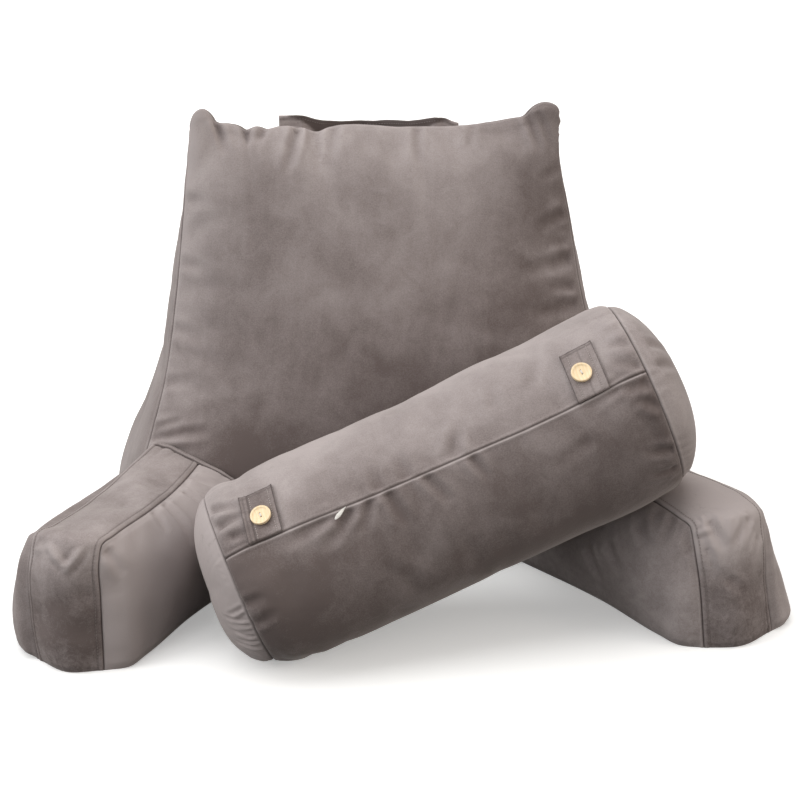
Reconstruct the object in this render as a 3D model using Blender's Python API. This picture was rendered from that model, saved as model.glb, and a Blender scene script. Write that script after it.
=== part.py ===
"""Reading pillow with arms, and its neck roll lying loose across the right arm.

Metres, +Z up. The pillow faces -Y and stands on z = 0. Sizes are given in seat
coordinates: y = 0 where the front of the backrest meets the floor, x = 0 in the
middle of the seat. SEAT_SHIFT then centres the whole thing on the origin.
"""
import math

import bmesh
import bpy
import numpy as np
from mathutils import Vector
from mathutils.bvhtree import BVHTree

SEAT_SHIFT = np.array([0.0, -0.011, 0.0])
SOFT_GAP = 0.0006
CLEAR_PASSES = 4
ROOT_GAP = 0.0010
FLOOR_SKIM = 0.0005
TOWARD_REAR = Vector((0.0, 1.0, 0.0))
PLACE_STEPS = 6
SEAT_SIDES = 12
FILL_POWER = 0.6
WELD_REACH = 1e-5

# Backrest, one row for each height of its upright seams. TOP_SHIFT moves its top sideways.
FRONT_ROWS = (
    # height, half width, y
    (0.000, 0.300, 0.000),
    (0.130, 0.270, 0.043),
    (0.290, 0.229, 0.098),
    (0.420, 0.212, 0.142),
    (0.476, 0.207, 0.161),
)
REAR_ROWS = (
    (0.000, 0.298, 0.278),
    (0.130, 0.263, 0.270),
    (0.290, 0.214, 0.238),
    (0.410, 0.194, 0.204),
    (0.454, 0.194, 0.182),
)
# Top front seam, from ear to ear.
TOP_SEAM = (
    # x, height
    (-0.210, 0.476),
    (-0.198, 0.484),
    (-0.184, 0.474),
    (-0.168, 0.463),
    (-0.080, 0.462),
    (0.030, 0.460),
    (0.130, 0.462),
    (0.154, 0.468),
    (0.172, 0.484),
    (0.191, 0.488),
    (0.204, 0.476),
)
TOP_SHIFT = -0.003
FRONT_CROWN = 0.050
REAR_CROWN = 0.034
SIDE_CROWN = 0.010
TOP_CROWN = 0.006
BACK_CELLS_WIDE = 30
BACK_CELLS_HIGH = 26
BACK_CELLS_DEEP = 6

# Creases pressed into the front of the backrest, from the seam inwards.
BACK_CREASES = (
    # x start, z start, x end, z end, width, depth
    (-0.098, 0.462, -0.113, 0.415, 0.010, 0.006),
    (-0.062, 0.460, -0.060, 0.415, 0.012, 0.004),
    (0.040, 0.455, 0.043, 0.405, 0.014, 0.004),
    (0.105, 0.466, 0.100, 0.425, 0.012, 0.004),
    (-0.150, 0.466, -0.146, 0.430, 0.012, 0.004),
    (-0.215, 0.370, -0.165, 0.378, 0.012, 0.003),
    (0.212, 0.340, 0.165, 0.346, 0.012, 0.003),
    (-0.262, 0.150, -0.215, 0.172, 0.014, 0.004),
    (-0.258, 0.140, -0.200, 0.140, 0.014, 0.004),
    (0.258, 0.140, 0.200, 0.150, 0.014, 0.004),
)

# Right arm, as the seams that bound its panels. The left arm mirrors it.
ARM_INNER_SEAM = (
    # along the top, round the front corner, down to the floor
    (0.262, -0.126, 0.135),
    (0.296, -0.182, 0.136),
    (0.309, -0.203, 0.130),
    (0.312, -0.213, 0.110),
    (0.311, -0.219, 0.000),
)
ARM_OUTER_SEAM = (
    (0.319, -0.062, 0.134),
    (0.366, -0.152, 0.135),
    (0.374, -0.172, 0.129),
    (0.378, -0.181, 0.110),
    (0.386, -0.189, 0.000),
)
ARM_CORNER = 3
ARM_INNER_FLOOR = (
    (0.226, -0.113, 0.0),
    (0.271, -0.190, 0.0),
    (0.288, -0.212, 0.0),
    (0.311, -0.219, 0.0),
)
ARM_OUTER_FLOOR = (
    (0.386, -0.189, 0.0),
    (0.407, -0.172, 0.0),
    (0.404, -0.110, 0.0),
    (0.350, -0.035, 0.0),
)
ARM_FRONT_FLOOR = ((0.311, -0.219, 0.0), (0.348, -0.216, 0.0), (0.386, -0.189, 0.0))
# Where the arm is sewn to the front of the backrest, as x and height.
ARM_INNER_ROOT = ((0.145, 0.0), (0.150, 0.030), (0.166, 0.075), (0.188, 0.101), (0.213, 0.117))
ARM_OUTER_ROOT = ((0.293, 0.0), (0.283, 0.045), (0.274, 0.090), (0.262, 0.139))
ARM_TOP_ROOT = ((0.213, 0.117), (0.238, 0.131), (0.262, 0.139))
ARM_INNER_CROWN = 0.018
ARM_OUTER_CROWN = 0.023
ARM_STRIP_CROWN = 0.008
STRIP_FULL_SOON = 12.0
ARM_CELLS_LONG = 18
ARM_CELLS_HIGH = 9
ARM_CELLS_ACROSS = 7

# Neck roll, from the middle of its left seam to the middle of its right seam.
ROLL_LEFT = np.array([-0.171, -0.183, 0.080])
ROLL_RIGHT = np.array([0.268, -0.109, 0.2465])
ROLL_ROWS = (
    # share of the length, radius
    (0.000, 0.0900),
    (0.035, 0.0985),
    (0.100, 0.1040),
    (0.300, 0.1055),
    (0.500, 0.1050),
    (0.700, 0.1050),
    (0.900, 0.1040),
    (0.965, 0.0980),
    (1.000, 0.0895),
)
ROLL_CAP_BULGE = 0.033
ROLL_CAP_FULLNESS = 3.2
ROLL_CAP_RINGS = 5
ROLL_SIDES = 40
ROLL_CELLS_LONG = 26
ROLL_RADIUS_SAMPLES = 200
ROLL_PUCKERS = 13
ROLL_PUCKER_DEPTH = 0.0012
ROLL_PUCKER_REACH = 0.05

# The tabs and the zip lie on the near side of the roll. Angles run about its
# axis, from straight up towards the viewer.
ZIP_ANGLE = math.radians(52.5)
TAB_FOOT_ANGLE = ZIP_ANGLE - math.radians(1.7)
TAB_HEIGHT = 0.056
TAB_WIDTH = 0.036
TAB_THICK = 0.0022
TAB_CELLS_WIDE = 6
TAB_CELLS_HIGH = 8
TAB_PLACES = (
    # name, share of the roll's length at the middle of the tab
    ("tab_left", 0.103),
    ("tab_right", 0.851),
)
BUTTON_RADIUS = 0.0112
BUTTON_SIDES = 28
BUTTON_PROFILE = (
    # inset from the edge, height
    (0.0006, 0.0000),
    (0.0000, 0.0010),
    (0.0000, 0.0026),
    (0.0007, 0.0034),
    (0.0020, 0.0034),
    (0.0030, 0.0025),
)
THREAD_HOLE_RADIUS = 0.0010
THREAD_HOLE_SPREAD = 0.0021
THREAD_HOLE_SIDES = 10
ZIP_PULL_SHARE = 0.259
ZIP_PULL_DROOP = math.radians(26.0)
ZIP_PULL_LENGTH = 0.0175
ZIP_PULL_WIDTH = 0.0052
ZIP_PULL_POINT = 0.22
ZIP_PULL_SIDES = 20
ZIP_PULL_LEVELS = (
    # height, scale of the outline
    (0.0000, 0.86),
    (0.0003, 1.00),
    (0.0011, 1.00),
    (0.0014, 0.86),
)

# Carry strap behind the top edge.
STRAP_MIDDLE_X = -0.012
STRAP_HALF_SPAN = 0.100
STRAP_SEWN_SHARE = 0.26
STRAP_HEIGHT = 0.038
STRAP_TOP = 0.469
STRAP_SAG = 0.022
STRAP_BOW = 0.026
STRAP_BOW_POWER = 1.5
STRAP_SEAM_INSET = 0.004
STRAP_LEVELS = 5
STRAP_THICK = 0.0024
STRAP_CELLS = 22

VELVET = ((0.268, 0.238, 0.231), 0.85, 0.0)
WOOD = ((0.610, 0.440, 0.270), 0.55, 0.0)
ZIP_WHITE = ((0.720, 0.710, 0.690), 0.40, 0.0)


def clear_scene():
    for item in list(bpy.data.objects):
        bpy.data.objects.remove(item, do_unlink=True)


def make_material(name, look):
    colour, roughness, metallic = look
    material = bpy.data.materials.new(name)
    material.use_nodes = True
    shader = material.node_tree.nodes["Principled BSDF"]
    shader.inputs["Base Color"].default_value = (*colour, 1.0)
    shader.inputs["Roughness"].default_value = roughness
    shader.inputs["Metallic"].default_value = metallic
    return material


def spaced(cells):
    """Steps from 0 to 1 that crowd a little towards both ends."""
    even = np.linspace(0.0, 1.0, cells + 1)
    return (even + (1.0 - np.cos(math.pi * even)) / 2.0) / 2.0


def curve(points, steps):
    """A smooth curve through the points, read at steps from 0 to 1."""
    points = np.array(points, dtype=float)
    lengths = np.linalg.norm(np.diff(points, axis=0), axis=1)
    knots = np.concatenate([[0.0], np.cumsum(lengths)]) / lengths.sum()
    slopes = np.gradient(points, knots, axis=0)
    place = np.clip(np.searchsorted(knots, steps, side="right") - 1, 0, len(knots) - 2)
    width = (knots[place + 1] - knots[place])[:, None]
    s = ((steps - knots[place])[:, None]) / width
    start = points[place] * (1 + 2 * s) * (1 - s) ** 2 + slopes[place] * width * s * (1 - s) ** 2
    end = points[place + 1] * s ** 2 * (3 - 2 * s) - slopes[place + 1] * width * s ** 2 * (1 - s)
    return start + end


def knot_share(points, index):
    """How far along the curve the point with this index lies, from 0 to 1."""
    lengths = np.linalg.norm(np.diff(np.array(points), axis=0), axis=1)
    return lengths[:index].sum() / lengths.sum()


def swell(cells):
    """How full a filled panel is from one seam to the other."""
    t = spaced(cells)
    return (4.0 * t * (1.0 - t)) ** FILL_POWER


def grid_normals(grid):
    across = np.gradient(grid, axis=1)
    up = np.gradient(grid, axis=0)
    normals = np.cross(across, up)
    return normals / np.linalg.norm(normals, axis=2, keepdims=True)


def panel(low, high, left, right, crown):
    """A panel between four seams, raised by its filling. Low and high run the same way."""
    u = spaced(len(low) - 1)[None, :, None]
    v = spaced(len(left) - 1)[:, None, None]
    corners = (1 - u) * (1 - v) * low[0] + u * (1 - v) * low[-1]
    corners = corners + (1 - u) * v * high[0] + u * v * high[-1]
    grid = (1 - v) * low + v * high + (1 - u) * left[:, None] + u * right[:, None] - corners
    fill = swell(len(left) - 1)[:, None] * swell(len(low) - 1)[None, :]
    return grid + grid_normals(grid) * (crown * fill)[:, :, None]


def sew(grids, closed=True):
    """One mesh from the panels, closed underneath where they leave an opening."""
    mesh = bmesh.new()
    for grid in grids:
        rows = [[mesh.verts.new(point) for point in row] for row in grid]
        for lower, upper in zip(rows[:-1], rows[1:]):
            for k in range(len(lower) - 1):
                mesh.faces.new((lower[k], lower[k + 1], upper[k + 1], upper[k]))
    bmesh.ops.remove_doubles(mesh, verts=mesh.verts, dist=WELD_REACH)
    if closed:
        rim = [edge for edge in mesh.edges if edge.is_boundary]
        bmesh.ops.holes_fill(mesh, edges=rim, sides=0)
        bmesh.ops.recalc_face_normals(mesh, faces=mesh.faces)
    return mesh


def loft(rings, tips=(None, None)):
    """One closed mesh through rings of points. Each end runs to its tip, or is flat."""
    mesh = bmesh.new()
    loops = [[mesh.verts.new(point) for point in ring] for ring in rings]
    for low, high in zip(loops[:-1], loops[1:]):
        for k in range(len(low)):
            after = (k + 1) % len(low)
            mesh.faces.new((low[k], low[after], high[after], high[k]))
    for loop, tip in zip((loops[0], loops[-1]), tips):
        if tip is None:
            mesh.faces.new(loop)
        else:
            middle = mesh.verts.new(tip)
            for k in range(len(loop)):
                mesh.faces.new((loop[k], loop[(k + 1) % len(loop)], middle))
    bmesh.ops.recalc_face_normals(mesh, faces=mesh.faces)
    return mesh


def circle(centre, across, around, radius, sides):
    turns = [2.0 * math.pi * k / sides for k in range(sides)]
    return [centre + (across * math.cos(turn) + around * math.sin(turn)) * radius for turn in turns]


def add_object(name, mesh, material):
    """An object of three-sided faces, shaded smooth and moved to its place about the origin."""
    bmesh.ops.triangulate(mesh, faces=mesh.faces)
    data = bpy.data.meshes.new(name)
    mesh.to_mesh(data)
    mesh.free()
    data.materials.append(material)
    data.shade_smooth()
    thing = bpy.data.objects.new(name, data)
    thing.location = SEAT_SHIFT
    bpy.context.collection.objects.link(thing)
    return thing


def first_hit(tree, point, direction):
    """Where a line along the direction, through the point, first meets the surface."""
    start = Vector(point) - direction
    return tree.ray_cast(start, direction)[0]


def depth_past(point, tree, direction):
    """How far a point lies past the surface, and the gap that it should keep."""
    hit = first_hit(tree, point, direction)
    return 0.0 if hit is None else (point - hit).dot(direction) + SOFT_GAP


def face_places(face):
    """Points spread over a three-sided face."""
    a, b, c = (vert.co for vert in face.verts)
    steps = [(i, j) for i in range(PLACE_STEPS + 1) for j in range(PLACE_STEPS + 1 - i)]
    return [a + (b - a) * (i / PLACE_STEPS) + (c - a) * (j / PLACE_STEPS) for i, j in steps]


def keep_clear(mesh, tree, direction):
    """Push the mesh back against the direction until no face of it meets the surface."""
    bmesh.ops.triangulate(mesh, faces=mesh.faces)
    mesh.verts.index_update()
    for _ in range(CLEAR_PASSES):
        pushes = np.zeros(len(mesh.verts))
        for face in mesh.faces:
            deepest = max(depth_past(place, tree, direction) for place in face_places(face))
            for vert in face.verts:
                pushes[vert.index] = max(pushes[vert.index], deepest)
        for vert in mesh.verts:
            vert.co -= direction * pushes[vert.index]


def seat_on(tree, place, outward, radius):
    """The lowest centre, along the outward direction, at which a disc clears the surface."""
    across = outward.orthogonal().normalized()
    around = outward.cross(across)
    spots = [place]
    for share in (0.5, 1.0):
        spots += circle(place, across, around, radius * share, SEAT_SIDES)
    heights = [(first_hit(tree, spot, -outward) - place).dot(outward) for spot in spots]
    return place + outward * (max(heights) + SOFT_GAP)


def crease(grid, normals, row):
    """Press one crease into a panel of the backrest."""
    x_start, z_start, x_end, z_end, width, depth = row
    start = np.array([x_start, z_start])
    run = np.array([x_end, z_end]) - start
    places = grid[:, :, [0, 2]] - start
    along = np.clip(places @ run / (run @ run), 0.0, 1.0)
    away = np.linalg.norm(places - along[:, :, None] * run, axis=2)
    dip = depth * np.exp(-(away / width) ** 2) * (1.0 - along)
    return grid - normals * dip[:, :, None]


def upright_seam(rows, side):
    """One upright seam of the backrest, from the floor to its top corner."""
    top = rows[-1][0]
    points = [(side * half + TOP_SHIFT * height / top, y, height) for height, half, y in rows]
    return curve(points, spaced(BACK_CELLS_HIGH))


def build_backrest(material):
    front_left = upright_seam(FRONT_ROWS, -1)
    front_right = upright_seam(FRONT_ROWS, 1)
    rear_left = upright_seam(REAR_ROWS, -1)
    rear_right = upright_seam(REAR_ROWS, 1)
    wide = spaced(BACK_CELLS_WIDE)
    deep = spaced(BACK_CELLS_DEEP)
    top_y = FRONT_ROWS[-1][2]
    front_top = curve([(x, top_y, height) for x, height in TOP_SEAM], wide)
    rear_top = curve((rear_left[-1], rear_right[-1]), wide)
    left_top = curve((front_left[-1], rear_left[-1]), deep)
    right_top = curve((front_right[-1], rear_right[-1]), deep)
    front_floor = curve((front_left[0], front_right[0]), wide)
    rear_floor = curve((rear_left[0], rear_right[0]), wide)
    left_floor = curve((front_left[0], rear_left[0]), deep)
    right_floor = curve((front_right[0], rear_right[0]), deep)

    front = panel(front_floor, front_top, front_left, front_right, FRONT_CROWN)
    for row in BACK_CREASES:
        front = crease(front, grid_normals(front), row)
    grids = [
        front,
        panel(rear_floor[::-1], rear_top[::-1], rear_right, rear_left, REAR_CROWN),
        panel(left_floor[::-1], left_top[::-1], rear_left, front_left, SIDE_CROWN),
        panel(right_floor, right_top, front_right, rear_right, SIDE_CROWN),
        panel(front_top, rear_top, left_top, right_top, TOP_CROWN),
    ]
    return add_object("backrest", sew(grids), material)


def root_seam(points, cells, side, tree):
    """A seam of the arm that lies on the front of the backrest."""
    flat = curve(points, spaced(cells))
    seam = []
    for x, height in flat:
        hit = first_hit(tree, (side * x, 0.0, max(height, FLOOR_SKIM)), TOWARD_REAR)
        seam.append((x, hit.y - ROOT_GAP, height))
    return np.array(seam)


def arm_seam(points):
    """A long seam of the arm, with one sample exactly on its front corner."""
    corner = knot_share(points, ARM_CORNER)
    along = corner * spaced(ARM_CELLS_LONG)
    down = corner + (1.0 - corner) * spaced(ARM_CELLS_HIGH)
    return curve(points, np.concatenate([along, down[1:]]))


def arm_strip(inner, outer, floor_edge, root_edge):
    """The boxing strip, which runs up the front and back along the top."""
    left = inner[::-1]
    right = outer[::-1]
    across = spaced(ARM_CELLS_ACROSS)[None, :, None]
    share = np.linspace(0.0, 1.0, len(left))[:, None, None]
    grid = (1 - across) * left[:, None] + across * right[:, None]
    grid = grid + (1 - share) * (floor_edge - grid[0]) + share * (root_edge - grid[-1])
    lengthwise = np.clip(STRIP_FULL_SOON * share * (1.0 - share), 0.0, 1.0)[:, :, 0] ** FILL_POWER
    fill = lengthwise * swell(ARM_CELLS_ACROSS)[None, :]
    return grid + grid_normals(grid) * (ARM_STRIP_CROWN * fill)[:, :, None]


def build_arm(name, side, backrest_tree, material):
    long = spaced(ARM_CELLS_LONG)
    across = spaced(ARM_CELLS_ACROSS)
    inner_root = root_seam(ARM_INNER_ROOT, ARM_CELLS_HIGH, side, backrest_tree)
    outer_root = root_seam(ARM_OUTER_ROOT, ARM_CELLS_HIGH, side, backrest_tree)
    root_top = root_seam(ARM_TOP_ROOT, ARM_CELLS_ACROSS, side, backrest_tree)
    inner = arm_seam([inner_root[-1], *ARM_INNER_SEAM])
    outer = arm_seam([outer_root[-1], *ARM_OUTER_SEAM])
    inner_top = inner[:ARM_CELLS_LONG + 1]
    outer_top = outer[:ARM_CELLS_LONG + 1]
    inner_front = inner[ARM_CELLS_LONG:][::-1]
    outer_front = outer[ARM_CELLS_LONG:][::-1]
    inner_floor = curve([inner_root[0], *ARM_INNER_FLOOR], long)
    outer_floor = curve([*ARM_OUTER_FLOOR, outer_root[0]], long)
    front_floor = curve(ARM_FRONT_FLOOR, across)
    root_floor = curve((inner_root[0], outer_root[0]), across)

    root = panel(root_floor[::-1], root_top[::-1], outer_root, inner_root, 0.0)
    for point in root.reshape(-1, 3):
        spot = (side * point[0], 0.0, max(point[2], FLOOR_SKIM))
        point[1] = first_hit(backrest_tree, spot, TOWARD_REAR).y - ROOT_GAP
    grids = [
        panel(inner_floor, inner_top, inner_root, inner_front, ARM_INNER_CROWN),
        panel(outer_floor, outer_top[::-1], outer_front, outer_root, ARM_OUTER_CROWN),
        arm_strip(inner, outer, front_floor, root_top),
        root,
    ]
    mesh = sew([grid * np.array([side, 1.0, 1.0]) for grid in grids])
    keep_clear(mesh, backrest_tree, TOWARD_REAR)
    return add_object(name, mesh, material)


def roll_frame(angle):
    """Along the roll, out of it at this angle, and around it towards the viewer."""
    axis = Vector(ROLL_RIGHT - ROLL_LEFT).normalized()
    up = (Vector((0.0, 0.0, 1.0)) - axis * axis.z).normalized()
    near = axis.cross(up)
    outward = up * math.cos(angle) + near * math.sin(angle)
    around = near * math.cos(angle) - up * math.sin(angle)
    return axis, outward, around


def roll_radius(share):
    rows = curve(ROLL_ROWS, np.linspace(0.0, 1.0, ROLL_RADIUS_SAMPLES))
    return np.interp(share, rows[:, 0], rows[:, 1])


def roll_point(share, angle):
    """A point on the side of the roll, at a share of its length and an angle about it."""
    centre = Vector(ROLL_LEFT + (ROLL_RIGHT - ROLL_LEFT) * share)
    return centre + roll_frame(angle)[1] * roll_radius(share)


def build_roll(arm_tree, material):
    axis = roll_frame(0.0)[0]
    left, right = Vector(ROLL_LEFT), Vector(ROLL_RIGHT)
    angles = np.linspace(0.0, 2.0 * math.pi, ROLL_SIDES, endpoint=False)

    def ring(centre, radius, pucker):
        radii = radius - pucker * np.cos(ROLL_PUCKERS * angles)
        return [centre + roll_frame(angle)[1] * r for angle, r in zip(angles, radii)]

    left_cap = []
    right_cap = []
    for step in np.sin(np.linspace(0.0, math.pi / 2.0, ROLL_CAP_RINGS + 1))[1:-1]:
        bulge = axis * ROLL_CAP_BULGE * (1.0 - step ** ROLL_CAP_FULLNESS)
        left_cap.append(ring(left - bulge, roll_radius(0.0) * step, 0.0))
        right_cap.append(ring(right + bulge, roll_radius(1.0) * step, 0.0))
    side = []
    for share in spaced(ROLL_CELLS_LONG):
        pucker = ROLL_PUCKER_DEPTH * math.exp(-min(share, 1.0 - share) / ROLL_PUCKER_REACH)
        side.append(ring(left.lerp(right, share), roll_radius(share), pucker))

    tips = (left - axis * ROLL_CAP_BULGE, right + axis * ROLL_CAP_BULGE)
    mesh = loft(left_cap + side + right_cap[::-1], tips)
    for vert in mesh.verts:
        vert.co.z = max(vert.co.z, 0.0)
    keep_clear(mesh, arm_tree, Vector((0.0, 0.0, -1.0)))
    return add_object("neck_roll", mesh, material)


def add_sheet(name, grid, thickness, tree, direction, material):
    """A piece of cloth of even thickness, lying on the surface that the direction meets."""
    mesh = sew([grid], closed=False)
    keep_clear(mesh, tree, direction)
    sheet = add_object(name, mesh, material)
    thicken = sheet.modifiers.new("cloth thickness", "SOLIDIFY")
    thicken.thickness = thickness
    thicken.offset = 1.0
    return sheet


def tab_middle(share):
    """The angle about the roll at the middle of a tab."""
    return TAB_FOOT_ANGLE - 0.5 * TAB_HEIGHT / roll_radius(share)


def build_tab(name, share, tree, material):
    width_share = TAB_WIDTH / np.linalg.norm(ROLL_RIGHT - ROLL_LEFT)
    shares = share + np.linspace(-0.5, 0.5, TAB_CELLS_WIDE + 1) * width_share
    drops = np.linspace(0.0, 1.0, TAB_CELLS_HIGH + 1) * TAB_HEIGHT / roll_radius(share)
    _, outward, _ = roll_frame(tab_middle(share))
    rows = [[roll_point(s, TAB_FOOT_ANGLE - drop) + outward * SOFT_GAP for s in shares] for drop in drops]
    return add_sheet(name, np.array(rows), TAB_THICK, tree, -outward, material)


def build_button(name, share, tab, material):
    """A flat wooden button with a raised rim and two holes, lying on its tab."""
    angle = tab_middle(share)
    along, outward, around = roll_frame(angle)
    centre = seat_on(tree_of(tab), roll_point(share, angle), outward, BUTTON_RADIUS)
    rings = []
    for inset, height in BUTTON_PROFILE:
        rings.append(circle(centre + outward * height, along, around, BUTTON_RADIUS - inset, BUTTON_SIDES))
    button = add_object(name, loft(rings), material)
    for sign in (-1, 1):
        cut = button.modifiers.new("thread hole", "BOOLEAN")
        cut.operation = "DIFFERENCE"
        cut.object = add_cutter(centre + along * sign * THREAD_HOLE_SPREAD, outward)


def add_cutter(place, direction):
    """A guide cylinder for one thread hole."""
    mesh = bmesh.new()
    bmesh.ops.create_cone(
        mesh,
        cap_ends=True,
        segments=THREAD_HOLE_SIDES,
        radius1=THREAD_HOLE_RADIUS,
        radius2=THREAD_HOLE_RADIUS,
        depth=BUTTON_RADIUS,
    )
    data = bpy.data.meshes.new("thread_hole_cutter")
    mesh.to_mesh(data)
    mesh.free()
    cutter = bpy.data.objects.new("thread_hole_cutter", data)
    cutter.location = Vector(SEAT_SHIFT) + place
    cutter.rotation_mode = "QUATERNION"
    cutter.rotation_quaternion = direction.to_track_quat("Z", "Y")
    cutter.hide_render = True
    cutter.display_type = "WIRE"
    bpy.context.collection.objects.link(cutter)
    return cutter


def build_zip_pull(tree, material):
    """The teardrop pull of the zip, lying along the zip and drooping a little."""
    axis, outward, down = roll_frame(ZIP_ANGLE)
    hang = down * math.sin(ZIP_PULL_DROOP) - axis * math.cos(ZIP_PULL_DROOP)
    aside = outward.cross(hang)
    place = roll_point(ZIP_PULL_SHARE, ZIP_ANGLE)
    centre = seat_on(tree, place, outward, 0.5 * ZIP_PULL_LENGTH)
    outline = []
    for k in range(ZIP_PULL_SIDES):
        turn = 2.0 * math.pi * k / ZIP_PULL_SIDES
        fullness = 1.0 - ZIP_PULL_POINT * (1.0 + math.cos(turn))
        along = -0.5 * ZIP_PULL_LENGTH * math.cos(turn)
        outline.append(hang * along + aside * 0.5 * ZIP_PULL_WIDTH * math.sin(turn) * fullness)
    rings = []
    for height, scale in ZIP_PULL_LEVELS:
        rings.append([centre + outward * height + spot * scale for spot in outline])
    add_object("zip_pull", loft(rings), material)


def build_strap(tree, material):
    """The carry strap: both ends sewn behind the top seam, its middle bowed back."""
    seam_height = REAR_ROWS[-1][0] - STRAP_SEAM_INSET
    columns = []
    for t in np.linspace(-1.0, 1.0, STRAP_CELLS + 1):
        x = STRAP_MIDDLE_X + STRAP_HALF_SPAN * t
        loose = max(1.0 - abs(t) - STRAP_SEWN_SHARE, 0.0) / (1.0 - STRAP_SEWN_SHARE)
        freedom = math.sin(loose * math.pi / 2.0)
        top = STRAP_TOP - STRAP_SAG * freedom
        heights = np.linspace(top - STRAP_HEIGHT, top, STRAP_LEVELS)
        seats = [first_hit(tree, (x, 0.0, min(z, seam_height)), -TOWARD_REAR).y for z in heights]
        bow = SOFT_GAP + STRAP_BOW * freedom ** STRAP_BOW_POWER
        column = [(x, y + (seats[0] - y) * freedom + bow, z) for y, z in zip(seats, heights)]
        columns.append(column)
    add_sheet("handle_strap", np.array(columns), STRAP_THICK, tree, -TOWARD_REAR, material)


def tree_of(thing):
    """Ray casting tree of an object, in seat coordinates."""
    mesh = bmesh.new()
    mesh.from_object(thing, bpy.context.evaluated_depsgraph_get())
    bmesh.ops.triangulate(mesh, faces=mesh.faces)
    tree = BVHTree.FromBMesh(mesh)
    mesh.free()
    return tree


def build_all():
    clear_scene()
    velvet = make_material("velvet", VELVET)
    wood = make_material("wood", WOOD)
    zip_white = make_material("zip_white", ZIP_WHITE)

    backrest = build_backrest(velvet)
    backrest_tree = tree_of(backrest)
    build_arm("arm_left", -1.0, backrest_tree, velvet)
    arm_right = build_arm("arm_right", 1.0, backrest_tree, velvet)
    build_strap(backrest_tree, velvet)
    roll = build_roll(tree_of(arm_right), velvet)
    roll_tree = tree_of(roll)
    for name, share in TAB_PLACES:
        tab = build_tab(name, share, roll_tree, velvet)
        build_button(name.replace("tab", "button"), share, tab, wood)
    build_zip_pull(roll_tree, zip_white)


build_all()
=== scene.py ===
"""Reading pillow with arms and its loose neck roll, in taupe velvet, for a soft studio light.

Metres, +Z up. Sizes are in seat coordinates, as in the part's source: y = 0 where the front
of the backrest meets the floor. SEAT_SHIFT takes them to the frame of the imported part.
"""
import math

import bmesh
import bpy
import numpy as np
from mathutils import Matrix, Vector
from mathutils.bvhtree import BVHTree


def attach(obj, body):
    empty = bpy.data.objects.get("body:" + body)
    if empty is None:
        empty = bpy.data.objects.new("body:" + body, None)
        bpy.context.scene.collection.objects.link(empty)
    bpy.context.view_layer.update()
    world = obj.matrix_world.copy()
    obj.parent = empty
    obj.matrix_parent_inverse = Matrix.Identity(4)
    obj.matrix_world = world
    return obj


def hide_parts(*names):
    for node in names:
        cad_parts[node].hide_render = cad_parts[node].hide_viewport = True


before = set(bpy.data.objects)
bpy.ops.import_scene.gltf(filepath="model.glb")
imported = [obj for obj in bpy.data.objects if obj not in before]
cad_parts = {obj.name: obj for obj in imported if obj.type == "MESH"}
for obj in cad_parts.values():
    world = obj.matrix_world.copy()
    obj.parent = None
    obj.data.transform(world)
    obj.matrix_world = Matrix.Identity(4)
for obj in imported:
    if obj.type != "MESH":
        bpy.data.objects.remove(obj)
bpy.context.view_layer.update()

SEAT_SHIFT = np.array([0.0, -0.011, 0.0])
TOWARD_REAR = Vector((0.0, 1.0, 0.0))
FILL_POWER = 0.6
BOW_POWER = 0.8
WELD_DECIMALS = 6
FLOOR_SKIM = 0.0005
SOFT_GAP = 0.0006
LEFT, RIGHT = -1.0, 1.0

# ---- The covers as they were cut: the seams of the backrest, the arms and the neck roll.
FRONT_ROWS = (
    # height, half width to the left, half width to the right, y
    (0.000, 0.306, 0.300, 0.000),
    (0.070, 0.288, 0.283, 0.023),
    (0.130, 0.2705, 0.268, 0.043),
    (0.200, 0.2490, 0.247, 0.068),
    (0.290, 0.2325, 0.2245, 0.098),
    (0.360, 0.2235, 0.2145, 0.122),
    (0.420, 0.2165, 0.2045, 0.142),
    (0.472, 0.2105, 0.1970, 0.161),
)
REAR_ROWS = (
    (0.000, 0.310, 0.298, 0.278),
    (0.030, 0.306, 0.292, 0.277),
    (0.070, 0.290, 0.280, 0.276),
    (0.130, 0.258, 0.258, 0.270),
    (0.200, 0.230, 0.234, 0.258),
    (0.290, 0.213, 0.207, 0.238),
    (0.410, 0.197, 0.188, 0.204),
    (0.444, 0.197, 0.189, 0.184),
)
TOP_SEAM = (
    # x, height
    (-0.2105, 0.4720),
    (-0.2095, 0.4795),
    (-0.2055, 0.4875),
    (-0.1965, 0.4920),
    (-0.1875, 0.4860),
    (-0.1815, 0.4765),
    (-0.1700, 0.4745),
    (-0.1570, 0.4715),
    (-0.1480, 0.4665),
    (-0.1400, 0.4700),
    (-0.1330, 0.4695),
    (-0.1260, 0.4670),
    (-0.1150, 0.4690),
    (-0.0850, 0.4670),
    (-0.0700, 0.4625),
    (-0.0560, 0.4670),
    (0.0300, 0.4660),
    (0.1000, 0.4665),
    (0.1530, 0.4740),
    (0.1655, 0.4765),
    (0.1715, 0.4830),
    (0.1780, 0.4885),
    (0.1870, 0.4915),
    (0.1965, 0.4900),
    (0.2035, 0.4845),
    (0.2040, 0.4780),
    (0.1970, 0.4720),
)
TOP_FADE = 0.22
TOP_FADE_POWER = 1.7
FRONT_CROWN = 0.050
REAR_CROWN = 0.034
SIDE_CROWN = 0.010
TOP_CROWN = 0.001
REAR_BOW = 0.008
SIDE_BOW = 0.003

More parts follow.
